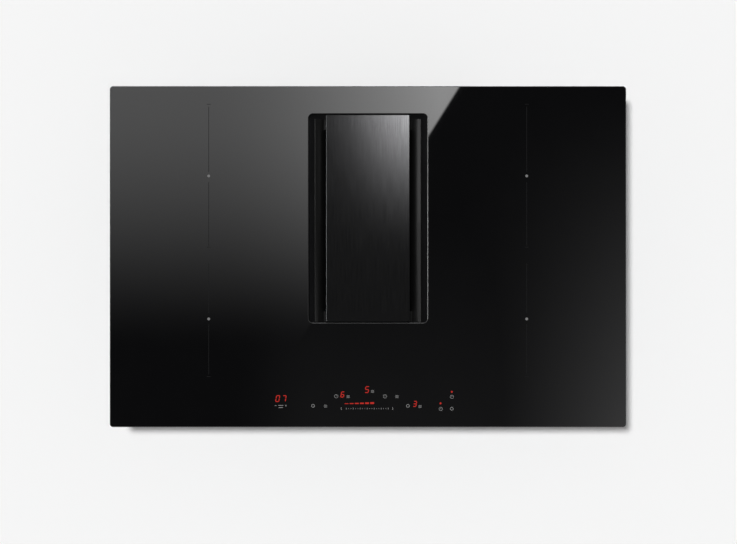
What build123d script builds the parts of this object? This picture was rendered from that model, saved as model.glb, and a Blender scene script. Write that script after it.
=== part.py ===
from build123d import *
import math
import os

# Downdraft induction cooktop, in millimetres.
# X runs to the right, Y to the back and Z up. The origin lies in the worktop's surface, under the
# middle of the glass, so the underside of the perimeter seal is at Z = 0 and the works hang below.

# ---------------------------------------------------------------- driving dimensions

# Glass plate, with the opening that the air is drawn down through
glass_width = 780.0
glass_depth = 515.0
glass_thickness = 4.0
glass_corner = 5.0
glass_bevel = 1.0
opening_width = 180.0
opening_depth = 316.0
opening_corner = 7.0
opening_bevel = 0.7
opening_rear_margin = 41.5

# Foam seal between the glass and the worktop
seal_thickness = 2.0
seal_width = 9.0
seal_inset = 3.0

# Steel frame bonded under the glass, inside the worktop's cut-out
frame_gap = 6.0
frame_sheet = 1.2
frame_flange = 10.0
frame_skirt = 24.0
frame_corner = 4.0

# Cooking zones
rear_zone_depth = 216.0
front_zone_depth = 174.0
zone_rear_margin = 27.5
zone_gap = 21.0
coil_margin = 3.0
coil_eye_radius = 26.0
coil_height = 6.0
insulation_thickness = 1.0
ferrite_height = 4.0
ferrite_width = 13.0
ferrites_per_coil = 8
ferrite_inset = 5.0
coil_plate_thickness = 1.5
sensor_radius = 6.0
coil_post_width = 12.0
coil_post_web = 3.0
coil_post_inset = 9.0
insulation_clip = 40.0

# Electronics trays
tray_clearance = 1.0
tray_height = 61.0
tray_sheet = 1.0
tray_corner = 3.0
tray_bead_height = 1.5
tray_bead_width = 12.0
tray_bead_corner = 4.0
louvre_count = 9
louvre_pitch = 20.0
louvre_width = 5.0
louvre_height = 26.0

# Power boards and what stands on them
board_thickness = 1.6
board_width = 170.0
board_depth = 250.0
board_stand_height = 8.0
board_stand_width = 8.0
board_stand_inset = 8.0
heat_sink_width = 72.0
heat_sink_depth = 180.0
heat_sink_height = 28.0
heat_sink_base = 5.0
fin_count = 8
fin_thickness = 1.8
capacitor_radius = 11.0
capacitor_height = 27.0
capacitors_per_board = 3
capacitor_pitch = 30.0
choke_radius = 17.0
choke_bore = 7.0
choke_height = 14.0
chokes_per_board = 2
choke_pitch = 44.0

# Cooling fans
fan_width = 92.0
fan_height = 24.0
fan_wall = 2.0
fan_corner = 8.0
fan_intake_radius = 28.0
fan_outlet_width = 62.0
fan_rotor_radius = 38.0
fan_hub_radius = 12.0
fan_blade_count = 9
fan_tip_gap = 4.0
fan_arm_width = 5.0
fan_pin_radius = 2.0
fan_pin_clearance = 0.25
fan_rear_gap = 42.6
fan_arm_count = 3
fan_blade_angle_width = 4.0

# Control unit under the front edge of the glass
control_width = 288.0
control_depth = 50.0
control_height = 16.0
control_wall = 2.0
control_centre_x = -7.5
control_clearance = 2.0
control_board_depth = 6.0
control_boss_width = 8.0
control_boss_inset = 10.0
control_board_gap = 2.0
timer_display_x = -132.0
left_display_x = -38.0
middle_display_x = -1.0
right_display_x = 70.0
fan_display_x = 120.0
bar_display_width = 68.0
bar_display_depth = 10.0
bar_display_gap = 2.0
display_width = 17.0
display_depth = 12.0
touch_spring_width = 5.0
touch_spring_sheet = 0.4
touch_spring_count = 13

# Well under the opening
well_clearance = 2.0
well_wall = 2.5
well_depth = 108.0
well_draft = 1.5
well_flange_thickness = 3.0
well_flange_lap = 10.0
well_screws_per_side = 2
well_screw_pitch = 213.0
window_clearance = 1.0
well_floor = 3.0
gasket_width = 9.0
well_rib_thickness = 2.0
well_rib_drop = 30.0
well_ribs_per_side = 4
ledge_depth = 15.0
ledge_thickness = 3.0
ledge_grip = 5.5
ledge_clearance = 3.0
collar_height = 8.0
collar_wall = 2.5
drain_radius = 7.0
drain_wall_gap = 5.0
drain_flange = 3.0
drain_flange_thickness = 3.0
drain_grip_height = 9.0
drain_grip_width = 4.0

# Filter basket with its two rounded inlet lips
lip_span = 163.0
lip_rise = 6.0
lip_fall = 10.0
lip_edge_radius = 1.2
basket_front_gap = 1.3
basket_rear_gap = 8.0
basket_wall = 2.0
basket_rim = 14.0
basket_depth = 49.0
basket_rail_drop = 14.5
gutter_width = 28.0
basket_rib_count = 5
basket_rib_width = 3.0
gutter_hole_length = 18.5
filter_thickness = 3.0
filter_clearance = 0.3
filter_border = 7.0
filter_slots = 18
filter_slot_width = 7.0

# Drip tray under the basket
drip_tray_width = 110.0
drip_tray_height = 12.0
drip_tray_wall = 1.5
drip_tray_gap = 1.5
drip_tray_corner = 10.0
drip_tray_end_gap = 9.0
tray_post_width = 10.0
tray_post_inset = 16.0

# Cover over the opening, level with the glass
cover_width = 126.0
cover_thickness = 2.0
cover_end_gap = 1.5
cover_corner = 1.0
cover_bevel = 0.6
carrier_inset = 4.0
carrier_thickness = 2.0
carrier_rib_height = 4.0
carrier_rib_thickness = 2.0
carrier_ribs = 5
cover_pad_width = 9.0
cover_pad_thickness = 2.0
cover_pad_spread = 100.0
cover_foot_margin = 2.0

# Blower
impeller_radius = 80.0
impeller_eye_radius = 69.0
impeller_height = 67.0
impeller_disc = 2.0
impeller_ring_height = 4.0
impeller_top_gap = 3.0
blade_count = 26
blade_sweep = 8.0
blade_sag = 3.2
blade_angle_width = 1.3
inlet_radius = 65.0
inlet_wall = 2.0
inlet_overlap = 3.0
collar_gap = 2.0
scroll_wall = 2.5
tongue_gap = 6.0
tongue_angle = 65.0
scroll_growth = 47.0
scroll_offset = 10.0
scroll_boss_radius = 5.5
scroll_boss_height = 20.0
scroll_boss_count = 4
scroll_boss_lead = 0.7
scroll_boss_lap = 1.5
spiral_steps = 8
scroll_screw_length = 30.0
bell_bulge = 1.2
diffuser_length = 78.0

# Flat duct outlet at the back
duct_width = 222.0
duct_height = 89.0
duct_centre_x = 62.0
duct_corner = 8.0
spigot_wall = 2.5
spigot_length = 38.0
spigot_sleeve_length = 12.0
spigot_clearance = 0.3
spigot_flange = 3.0

# Motor inside the impeller's hub
shaft_radius = 4.0
shaft_chamfer = 0.7
shaft_clearance = 0.1
bearing_radius = 9.0
bearing_height = 6.0
bearing_tube_wall = 3.0
bearing_tube_height = 36.0
stator_radius = 33.0
stator_height = 18.0
stator_teeth = 12
stator_slot_width = 4.5
stator_slot_depth = 12.0
rotor_radius = 38.0
rotor_wall = 3.0
rotor_air_gap = 0.6
rotor_height = 30.0
hub_wall = 2.5
hub_clearance = 0.5
motor_seat_radius = 56.0
motor_hole_radius = 46.0
bracket_thickness = 2.0
grommet_radius = 4.9
grommet_lap = 1.4
grommet_height = 3.0
grommet_circle = 50.0
grommet_count = 3
cap_thickness = 2.0
cap_lap = 5.0

# Sheet-metal pieces between the trays and the blower
hanger_sheet = 1.5
hanger_width = 40.0
hanger_foot = 30.0
bridge_well_gap = 18.3
bridge_gap = 2.0
bridge_lip = 12.0
hanger_bend = 1.3
hanger_ear_width = 26.0
driver_box_side_gap = 13.0
driver_box_depth = 50.0
driver_box_height = 34.0
driver_box_wall = 2.0
driver_board_stand = 5.0
driver_stand_spread = 120.0
driver_board_gap = 2.0

# Mains terminal under the left tray
terminal_width = 100.0
terminal_depth = 70.0
terminal_height = 32.0
terminal_wall = 2.5
terminal_corner = 6.0
terminal_rim_corner = 2.0
terminal_bevel = 0.8
terminal_side_gap = 4.0
terminal_rear_gap = 4.0
terminal_ways = 5
terminal_pitch = 12.0
terminal_block_depth = 24.0
terminal_block_height = 17.0
terminal_screw_radius = 3.2
terminal_groove = 2.0
gland_bore = 7.0
gland_thread_radius = 10.0
gland_nut_radius = 14.0
gland_nut_length = 12.0
gland_dome_length = 8.0
gland_dome_radius = 11.0
gland_thread_length = 5.0
gland_clearance = 0.3

# Spring clips and screws
clip_sheet = 0.8
clip_width = 20.0
clip_height = 46.0
clip_bulge = 4.0
clip_spread = 280.0
clip_hook = 6.0
clip_slot_clearance = 0.6
clip_drop = 9.0
screw_radius = 1.9
screw_hole_radius = 2.1
screw_head_radius = 3.6
screw_head_height = 2.2
screw_tip_gap = 0.3
screw_length = 8.0
casing_screw_spread = 400.0
side_screw_drop = 12.0

# ---------------------------------------------------------------- levels and places

glass_underside = seal_thickness
glass_top_z = glass_underside + glass_thickness
flange_underside = glass_underside - frame_sheet
tray_bottom = flange_underside - tray_height
tray_floor_z = tray_bottom + tray_sheet

opening_rear_y = glass_depth / 2 - opening_rear_margin
opening_front_y = opening_rear_y - opening_depth
opening_centre_y = (opening_rear_y + opening_front_y) / 2

frame_width = glass_width - 2 * (seal_inset + seal_width + frame_gap)
frame_depth = glass_depth - 2 * (seal_inset + seal_width + frame_gap)
tray_outer_x = frame_width / 2 - frame_sheet
tray_half_depth = frame_depth / 2 - frame_sheet

zone_x = (opening_width / 2 + glass_width / 2) / 2
rear_zone_y = glass_depth / 2 - zone_rear_margin - rear_zone_depth / 2
front_zone_y = rear_zone_y - rear_zone_depth / 2 - zone_gap - front_zone_depth / 2
rear_coil_radius = rear_zone_depth / 2 - coil_margin
front_coil_radius = front_zone_depth / 2 - coil_margin

coil_top = glass_underside - insulation_thickness
coil_bottom = coil_top - coil_height
ferrite_bottom = coil_bottom - ferrite_height
coil_plate_bottom = ferrite_bottom - coil_plate_thickness
coil_plate_front = front_zone_y - front_coil_radius
coil_plate_rear = rear_zone_y + rear_coil_radius
coil_plate_depth = coil_plate_rear - coil_plate_front
coil_plate_centre_y = (coil_plate_rear + coil_plate_front) / 2
coil_plate_width = 2 * rear_coil_radius

board_bottom = tray_floor_z + board_stand_height
board_top = board_bottom + board_thickness
fan_centre_y = tray_half_depth - fan_rear_gap - fan_width / 2
board_rear = fan_centre_y - fan_width / 2 - fan_wall
board_centre_y = board_rear - board_depth / 2

control_bottom = glass_underside - control_height
control_front = -tray_half_depth
control_rear = control_front + control_depth
control_board_top = glass_underside - control_board_depth
notch_half = abs(control_centre_x) + control_width / 2 + control_clearance

well_width = opening_width + 2 * well_clearance
well_depth_y = opening_depth + 2 * well_clearance
well_corner = opening_corner + well_clearance
well_top = flange_underside
well_bottom = well_top - well_depth
well_floor_z = well_bottom + well_floor
gasket_span_x = well_width + 2 * gasket_width
gasket_span_y = well_depth_y + 2 * gasket_width
well_flange_x = gasket_span_x + 2 * window_clearance + 2 * well_flange_lap
well_flange_y = gasket_span_y + 2 * window_clearance + 2 * well_flange_lap

tray_inner_x = well_flange_x / 2 + tray_clearance
tray_centre_x = (tray_inner_x + tray_outer_x) / 2
tray_width = tray_outer_x - tray_inner_x

ledge_z = glass_top_z - ledge_depth
lip_half = lip_span / 2
lip_width = (lip_span - cover_width) / 2
lip_top = ledge_z + lip_rise
lip_centre_z = lip_top - lip_fall
basket_front = opening_front_y + basket_front_gap
basket_rear = opening_rear_y - basket_rear_gap
basket_bottom = ledge_z - basket_depth
basket_wall_front = basket_front + basket_rim
basket_wall_rear = basket_rear - basket_rim
basket_inner_x = cover_width / 2
rail_bottom = lip_centre_z - basket_rail_drop
rim_top = ledge_z + basket_wall
gutter_half = gutter_width / 2
slope_rise = rail_bottom - basket_bottom
slope_run = basket_inner_x + basket_wall - gutter_half
slope_angle = math.degrees(math.atan2(slope_rise, slope_run))

drip_tray_top = basket_bottom - drip_tray_gap
drip_tray_bottom = drip_tray_top - drip_tray_height
drip_tray_front = basket_wall_front + drip_tray_end_gap
drip_tray_rear = basket_wall_rear - drip_tray_end_gap

cover_depth = opening_depth - 2 * cover_end_gap
cover_underside = glass_top_z - cover_thickness
carrier_underside = cover_underside - carrier_thickness
pad_top = rim_top + cover_pad_thickness
pad_front_y = basket_front + basket_rim / 2
pad_rear_y = basket_rear - basket_rim / 2

scroll_centre_y = opening_centre_y - scroll_offset
scroll_top = well_bottom
scroll_bottom = scroll_top - duct_height
scroll_split = (scroll_top + scroll_bottom) / 2
scroll_ceiling = scroll_top - scroll_wall
scroll_floor = scroll_bottom + scroll_wall
tongue_radius = impeller_radius + tongue_gap
scroll_reach = tongue_radius + scroll_growth
scroll_exit_y = scroll_centre_y + tongue_radius * math.sin(math.radians(tongue_angle)) + diffuser_length
diffuser_half = duct_width / 2 - scroll_wall
impeller_top = scroll_ceiling - impeller_top_gap
impeller_bottom = impeller_top - impeller_height
inlet_bottom = impeller_top - inlet_overlap
inlet_flare_radius = inlet_radius + inlet_wall + collar_gap * 2
collar_radius = inlet_flare_radius + collar_gap
collar_top = well_floor_z + collar_height
well_taper = (well_depth - well_floor) * math.tan(math.radians(well_draft))
drain_y = opening_centre_y - well_depth_y / 2 + well_taper + drain_wall_gap + drain_radius

rotor_top = impeller_bottom + rotor_height + hub_clearance
shaft_bottom = scroll_floor + bracket_thickness + grommet_height
tube_bottom = scroll_floor + grommet_height
tube_top = tube_bottom + bearing_tube_height
bearing_tube_radius = bearing_radius + bearing_tube_wall
hub_radius = rotor_radius + hub_clearance + hub_wall
stator_bottom = tube_top - stator_height - bearing_height

hanger_x = scroll_reach + scroll_wall
driver_box_width = 2 * (tray_inner_x - driver_box_side_gap)
bridge_rear_y = opening_centre_y - well_depth_y / 2 - bridge_well_gap
driver_box_y = (bridge_rear_y - tray_half_depth) / 2
gland_end = frame_depth / 2 - terminal_rear_gap
terminal_rear = gland_end - gland_nut_length - gland_dome_length
terminal_front = terminal_rear - terminal_depth
terminal_centre_x = -(frame_width / 2 - terminal_side_gap - terminal_width / 2)
terminal_centre_y = (terminal_rear + terminal_front) / 2
terminal_bottom = tray_bottom - terminal_height
gland_z = tray_bottom - (terminal_height + terminal_wall) / 2
side_screw_z = glass_underside - side_screw_drop


# ---------------------------------------------------------------- shapes used by several pieces

def block(x_from, x_to, y_from, y_to, z_from, z_to):
    """A square-edged block between two opposite corners."""
    middle = Pos((x_from + x_to) / 2, (y_from + y_to) / 2, (z_from + z_to) / 2)
    return middle * Box(x_to - x_from, y_to - y_from, z_to - z_from)


def slab(width, depth, z_from, z_to, corner, x=0.0, y=0.0):
    """An upright slab with rounded corners."""
    outline = Pos(x, y, z_from) * RectangleRounded(width, depth, corner)
    return extrude(outline, z_to - z_from)


def rod(radius, z_from, z_to, x=0.0, y=0.0):
    """An upright round rod."""
    outline = Pos(x, y, z_from) * Circle(radius)
    return extrude(outline, z_to - z_from)


def tube(outer, inner, z_from, z_to, x=0.0, y=0.0):
    """An upright round tube."""
    outline = Circle(outer) - Circle(inner)
    return extrude(Pos(x, y, z_from) * outline, z_to - z_from)


def mirrored(shape):
    """The same shape on the other side of the middle plane."""
    return mirror(shape, about=Plane.YZ)


def along_y(sketch, y_from, y_to):
    """Extrude a sketch that was drawn as seen from the front, between two depths."""
    face = Plane(origin=(0, y_to, 0), x_dir=(1, 0, 0), z_dir=(0, -1, 0)) * sketch
    return extrude(face, y_to - y_from)


def group(solids):
    """Like pieces that are not joined, kept as one item."""
    return Compound(children=list(solids))


def blade(inner, outer, sweep, sag, angle_width, z_from, z_to):
    """One curved fan blade, of the same angular width from root to tip."""
    root = Vector(inner, 0, 0)
    tip = Vector(outer, 0, 0).rotate(Axis.Z, sweep)
    chord = tip - root
    side = Vector(chord.Y, -chord.X, 0).normalized()
    middle = (root + tip) * 0.5 + side * sag
    front = ThreePointArc(root, middle, tip)
    back = front.rotate(Axis.Z, angle_width)
    root_line = Line(front @ 0, back @ 0)
    tip_line = Line(front @ 1, back @ 1)
    outline = make_face(Curve() + [front, tip_line, back, root_line])
    return extrude(Pos(0, 0, z_from) * outline, z_to - z_from)


def blade_ring(count, one_blade):
    """Copies of a blade, evenly spaced around the axis."""
    return [one_blade.rotate(Axis.Z, 360.0 * index / count) for index in range(count)]


def screw(head_plane, length):
    """A hexagon-head screw, whose head stands on the given plane and whose shank runs below it."""
    head = extrude(RegularPolygon(screw_head_radius, 6), screw_head_height)
    shank = extrude(Circle(screw_radius), -length)
    return head_plane.location * (head + shank)


# ---------------------------------------------------------------- glass, seal and frame

def glass_top():
    plate = slab(glass_width, glass_depth, glass_underside, glass_top_z, glass_corner)
    top_edges = plate.edges().filter_by_position(Axis.Z, glass_top_z, glass_top_z)
    plate = chamfer(top_edges, glass_bevel)
    plate = plate - slab(opening_width, opening_depth, glass_underside, glass_top_z, opening_corner,
                         0, opening_centre_y)
    reach = opening_depth / 2 + opening_bevel
    rim = plate.edges().filter_by_position(Axis.Z, glass_top_z, glass_top_z)
    rim = rim.filter_by(lambda edge: abs(edge.center().X) < opening_width / 2 + opening_bevel)
    rim = rim.filter_by(lambda edge: abs(edge.center().Y - opening_centre_y) < reach)
    return chamfer(rim, opening_bevel)


def perimeter_seal():
    outer_width = glass_width - 2 * seal_inset
    outer_depth = glass_depth - 2 * seal_inset
    outer = slab(outer_width, outer_depth, 0, seal_thickness, glass_corner)
    inner_width = outer_width - 2 * seal_width
    inner_depth = outer_depth - 2 * seal_width
    return outer - slab(inner_width, inner_depth, 0, seal_thickness, glass_corner)


def inlet_gasket():
    outer = slab(gasket_span_x, gasket_span_y, flange_underside, glass_underside, well_corner,
                 0, opening_centre_y)
    return outer - slab(well_width, well_depth_y, flange_underside, glass_underside, well_corner,
                        0, opening_centre_y)


def side_openings():
    """What passes through the right-hand side walls: screw holes and the slots of the spring clips."""
    openings = []
    reach = 2 * (frame_sheet + tray_sheet)
    hole = Rot(Y=90) * Cylinder(screw_hole_radius, reach)
    slot = Box(reach, clip_width + 2 * clip_slot_clearance, clip_sheet + 2 * clip_slot_clearance)
    for y in (-casing_screw_spread / 2, casing_screw_spread / 2):
        openings.append(Pos(frame_width / 2 - frame_sheet, y, side_screw_z) * hole)
    for y in (-clip_spread / 2, clip_spread / 2):
        openings.append(Pos(frame_width / 2 - frame_sheet, y, side_screw_z) * slot)
    return openings


def glass_support_frame():
    plate = slab(frame_width, frame_depth, flange_underside, glass_underside, frame_corner)
    skirt_bottom = glass_underside - frame_skirt
    skirt = slab(frame_width, frame_depth, skirt_bottom, glass_underside, frame_corner)
    inside_corner = frame_corner - frame_sheet
    inside = slab(2 * tray_outer_x, 2 * tray_half_depth, skirt_bottom, glass_underside, inside_corner)
    frame = plate + (skirt - inside)

    window_inner = zone_x - rear_coil_radius - coil_margin
    window_outer = frame_width / 2 - frame_flange
    window_half = frame_depth / 2 - frame_flange
    window = block(window_inner, window_outer, -window_half, window_half,
                   flange_underside, glass_underside)
    frame = frame - window - mirrored(window)

    middle_x = gasket_span_x + 2 * window_clearance
    middle_y = gasket_span_y + 2 * window_clearance
    frame = frame - slab(middle_x, middle_y, flange_underside, glass_underside, well_corner,
                         0, opening_centre_y)

    control_left = control_centre_x - control_width / 2 - control_clearance
    control_right = control_centre_x + control_width / 2 + control_clearance
    control_back = control_rear + control_clearance
    frame = frame - block(control_left, control_right, control_front, control_back,
                          flange_underside, glass_underside)

    for opening in side_openings():
        frame = frame - opening - mirrored(opening)
    for x, y in well_screw_places():
        frame = frame - rod(screw_hole_radius, flange_underside, glass_underside, x, y)
    return frame


def well_screw_places():
    """Where the well's flange is screwed to the frame."""
    x = gasket_span_x / 2 + window_clearance + well_flange_lap / 2
    steps = [index - (well_screws_per_side - 1) / 2 for index in range(well_screws_per_side)]
    return [(side * x, opening_centre_y + step * well_screw_pitch) for side in (-1, 1) for step in steps]


# ---------------------------------------------------------------- induction trays

def tray_right():
    outer = slab(tray_width, 2 * tray_half_depth, tray_bottom, flange_underside, tray_corner, tray_centre_x)
    inner_width = tray_width - 2 * tray_sheet
    inner_depth = 2 * (tray_half_depth - tray_sheet)
    inner_corner = tray_corner - tray_sheet
    tray = outer - slab(inner_width, inner_depth, tray_floor_z, flange_underside, inner_corner, tray_centre_x)

    # the control unit reaches in through the front inner corner
    notch_rear = control_rear + control_clearance
    tray = tray - block(tray_inner_x, notch_half, -tray_half_depth, notch_rear,
                        control_bottom, flange_underside)

    # stiffening beads pressed up in the floor, beside the board
    for side in (-1, 1):
        x = zone_x + side * (board_width / 2 + tray_bead_width)
        bead = slab(tray_bead_width, board_depth / 2, tray_floor_z, tray_floor_z + tray_bead_height,
                    tray_bead_corner, x, board_centre_y)
        tray = tray + bead

    # stands pressed up for the power board
    for x, y in board_stand_places():
        half = board_stand_width / 2
        tray = tray + block(x - half, x + half, y - half, y + half, tray_floor_z, board_bottom)

    # air comes in through the floor under the fan and leaves through the front wall
    slot_pitch = 2 * louvre_width
    slot_count = int(fan_intake_radius / slot_pitch)
    for index in range(-slot_count, slot_count + 1):
        x_from = index * slot_pitch - louvre_width / 2
        reach = math.sqrt(fan_intake_radius ** 2 - (index * slot_pitch) ** 2)
        tray = tray - block(zone_x + x_from, zone_x + x_from + louvre_width,
                            fan_centre_y - reach, fan_centre_y + reach, tray_bottom, tray_floor_z)
    for index in range(louvre_count):
        x = zone_x + (index - (louvre_count - 1) / 2) * louvre_pitch
        tray = tray - block(x, x + louvre_width, -tray_half_depth, -tray_half_depth + tray_sheet,
                            board_top, board_top + louvre_height)

    for opening in side_openings():
        tray = tray - opening
    return tray


def board_stand_places():
    """Corner fixings of the right-hand power board."""
    x_step = board_width / 2 - board_stand_inset
    y_step = board_depth / 2 - board_stand_inset
    return [(zone_x + i * x_step, board_centre_y + j * y_step) for i in (-1, 1) for j in (-1, 1)]


def coil_plate_right():
    plate = slab(coil_plate_width, coil_plate_depth, coil_plate_bottom, ferrite_bottom, tray_corner,
                 zone_x, coil_plate_centre_y)
    for y, radius in coil_rows():
        plate = plate - rod(coil_eye_radius - coil_margin, coil_plate_bottom, ferrite_bottom, zone_x, y)
        for side in (-1, 1):
            slot_y = y + side * (coil_eye_radius + radius) / 2
            plate = plate - block(zone_x - radius / 2, zone_x + radius / 2,
                                  slot_y - ferrite_width / 2, slot_y + ferrite_width / 2,
                                  coil_plate_bottom, ferrite_bottom)
    return plate


def coil_rows():
    """Middle and radius of the rear and the front coil."""
    return [(rear_zone_y, rear_coil_radius), (front_zone_y, front_coil_radius)]


def coil_pair(y, radius):
    """Left and right coil of one row."""
    coil = tube(radius, coil_eye_radius, coil_bottom, coil_top, zone_x, y)
    return group([coil, mirrored(coil)])


def ferrite_bars():
    bars = []
    for y, radius in coil_rows():
        inner = coil_eye_radius + ferrite_inset
        outer = radius - ferrite_inset
        for index in range(ferrites_per_coil):
            bar = block(inner, outer, -ferrite_width / 2, ferrite_width / 2, ferrite_bottom, coil_bottom)
            bar = bar.rotate(Axis.Z, 360.0 * (index + 0.5) / ferrites_per_coil)
            bar = Pos(zone_x, y) * bar
            bars.append(bar)
            bars.append(mirrored(bar))
    return group(bars)


def coil_insulation():
    sheets = []
    for y, radius in coil_rows():
        outline = Rectangle(2 * radius, 2 * radius)
        outline = chamfer(outline.vertices(), insulation_clip) - Circle(sensor_radius + coil_margin)
        sheet = extrude(Pos(zone_x, y, coil_top) * outline, insulation_thickness)
        sheets.append(sheet)
        sheets.append(mirrored(sheet))
    return group(sheets)


def temperature_sensors():
    """A sprung ceramic button in the eye of each coil, on a bridge that spans the plate's hole."""
    sensors = []
    for y, radius in coil_rows():
        bridge_top = ferrite_bottom + coil_plate_thickness
        button = rod(sensor_radius, bridge_top, glass_underside, zone_x, y)
        bridge = block(-coil_eye_radius, coil_eye_radius, -sensor_radius, sensor_radius,
                       ferrite_bottom, bridge_top)
        sensor = button + Pos(zone_x, y) * bridge
        sensors.append(sensor)
        sensors.append(mirrored(sensor))
    return group(sensors)


def coil_posts():
    """Moulded posts with crossed webs, which carry the coil plates over the tray floors."""
    posts = []
    x_step = coil_plate_width / 2 - coil_post_inset
    y_step = coil_plate_depth / 2 - coil_post_inset
    cross = Rectangle(coil_post_width, coil_post_web) + Rectangle(coil_post_web, coil_post_width)
    for i in (-1, 1):
        for j in (-1, 1):
            place = Pos(zone_x + i * x_step, coil_plate_centre_y + j * y_step, tray_floor_z)
            post = extrude(place * cross, coil_plate_bottom - tray_floor_z)
            posts.append(post)
            posts.append(mirrored(post))
    return group(posts)


def power_board_right():
    board = block(zone_x - board_width / 2, zone_x + board_width / 2, board_rear - board_depth, board_rear,
                  board_bottom, board_top)
    for x, y in board_stand_places():
        board = board - rod(screw_radius, board_bottom, board_top, x, y)
    return board


def heat_sink_right():
    """An aluminium extrusion, with its fins along the stream of air."""
    base = Pos(0, heat_sink_base / 2) * Rectangle(heat_sink_width, heat_sink_base)
    fin_pitch = (heat_sink_width - fin_thickness) / (fin_count - 1)
    for index in range(fin_count):
        x = -heat_sink_width / 2 + fin_thickness / 2 + index * fin_pitch
        base = base + Pos(x, heat_sink_height / 2) * Rectangle(fin_thickness, heat_sink_height)
    profile = Pos(zone_x, board_top) * base
    return along_y(profile, board_centre_y - heat_sink_depth / 2, board_centre_y + heat_sink_depth / 2)


def power_capacitors():
    cans = []
    x = zone_x - (heat_sink_width / 2 + board_width / 2) / 2
    for index in range(capacitors_per_board):
        y = board_centre_y + (index - (capacitors_per_board - 1) / 2) * capacitor_pitch
        can = rod(capacitor_radius, board_top, board_top + capacitor_height, x, y)
        cans.append(can)
        cans.append(mirrored(can))
    return group(cans)


def filter_chokes():
    chokes = []
    x = zone_x + (heat_sink_width / 2 + board_width / 2) / 2
    for index in range(chokes_per_board):
        y = board_centre_y + (index - (chokes_per_board - 1) / 2) * choke_pitch
        choke = tube(choke_radius, choke_bore, board_top, board_top + choke_height, x, y)
        chokes.append(choke)
        chokes.append(mirrored(choke))
    return group(chokes)


# ---------------------------------------------------------------- cooling fans

def fan_housing_right():
    top = tray_floor_z + fan_height
    floor = tray_floor_z + fan_wall
    ceiling = top - fan_wall
    chamber_radius = fan_rotor_radius + fan_tip_gap
    housing = slab(fan_width, fan_width, tray_floor_z, top, fan_corner)
    housing = housing - rod(chamber_radius, floor, ceiling)
    half = fan_outlet_width / 2
    housing = housing - block(-half, half, -fan_width / 2, 0, floor, ceiling)
    housing = housing - rod(fan_intake_radius, tray_floor_z, floor)
    spider = rod(fan_hub_radius, tray_floor_z, floor)
    arm_half = fan_arm_width / 2
    for index in range(fan_arm_count):
        arm = block(0, fan_intake_radius + fan_wall, -arm_half, arm_half, tray_floor_z, floor)
        spider = spider + arm.rotate(Axis.Z, 90 + 360 * index / fan_arm_count)
    pin_top = ceiling - fan_wall - fan_tip_gap
    housing = housing + spider + rod(fan_pin_radius, floor, pin_top)
    return Pos(zone_x, fan_centre_y) * housing


def fan_impeller_right():
    bottom = tray_floor_z + fan_wall + fan_tip_gap / 2
    top = tray_floor_z + fan_height - fan_wall - fan_tip_gap / 2
    disc_bottom = top - fan_wall
    sweep = 360.0 / fan_blade_count
    root = fan_hub_radius - fan_wall / 2
    one_blade = blade(root, fan_rotor_radius, sweep, -fan_tip_gap, fan_blade_angle_width, bottom, disc_bottom)
    rotor = rod(fan_rotor_radius, disc_bottom, top) + rod(fan_hub_radius, bottom, disc_bottom)
    rotor = rotor + blade_ring(fan_blade_count, one_blade)
    rotor = rotor - rod(fan_pin_radius + fan_pin_clearance, bottom, disc_bottom)
    return Pos(zone_x, fan_centre_y) * rotor


# ---------------------------------------------------------------- control unit

def control_holder():
    centre_y = (control_front + control_rear) / 2
    outer = slab(control_width, control_depth, control_bottom, glass_underside, control_wall,
                 control_centre_x, centre_y)
    inner_width = control_width - 2 * control_wall
    inner_depth = control_depth - 2 * control_wall
    floor = control_bottom + control_wall
    holder = outer - slab(inner_width, inner_depth, floor, glass_underside, control_wall / 2,
                          control_centre_x, centre_y)
    half = control_boss_width / 2
    for x, y in control_boss_places():
        boss = block(x - half, x + half, y - half, y + half, floor, control_board_top - board_thickness)
        holder = holder + boss
    return holder


def control_boss_places():
    """Bosses that the control board rests on."""
    centre_y = (control_front + control_rear) / 2
    x_step = control_width / 2 - control_boss_inset
    y_step = control_depth / 2 - control_boss_inset
    return [(control_centre_x + i * x_step, centre_y + j * y_step) for i in (-1, 0, 1) for j in (-1, 1)]


def control_board():
    centre_y = (control_front + control_rear) / 2
    width = control_width - 2 * (control_wall + control_board_gap)
    depth = control_depth - 2 * (control_wall + control_board_gap)
    return slab(width, depth, control_board_top - board_thickness, control_board_top, control_wall,
                control_centre_x, centre_y)


def led_displays():
    """Display blocks: the timer at the left, one digit for each zone, and the bar between them."""
    middle_y = (control_front + control_rear) / 2
    blocks = []
    for x in (timer_display_x, left_display_x, middle_display_x, right_display_x, fan_display_x):
        blocks.append(block(x - display_width / 2, x + display_width / 2, middle_y, middle_y + display_depth,
                            control_board_top, glass_underside))
    bar_rear = middle_y - bar_display_gap
    half = bar_display_width / 2
    blocks.append(block(-half, half, bar_rear - bar_display_depth, bar_rear,
                        control_board_top, glass_underside))
    return group(blocks)


def touch_springs():
    """Bent leaf contacts between the board and the glass, in a row along the front."""
    half = touch_spring_width / 2
    low = control_board_top + touch_spring_sheet / 2
    high = glass_underside - touch_spring_sheet / 2
    leaf = trace(Polyline((-half, low), (half, low), (-half, high), (half, high)), touch_spring_sheet)
    front = control_front + control_boss_inset - half
    reach = control_width - 2 * control_boss_inset
    springs = []
    for index in range(touch_spring_count):
        x = control_centre_x - reach / 2 + index * reach / (touch_spring_count - 1)
        springs.append(along_y(Pos(x) * leaf, front, front + touch_spring_width))
    return group(springs)


# ---------------------------------------------------------------- well under the opening

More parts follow.
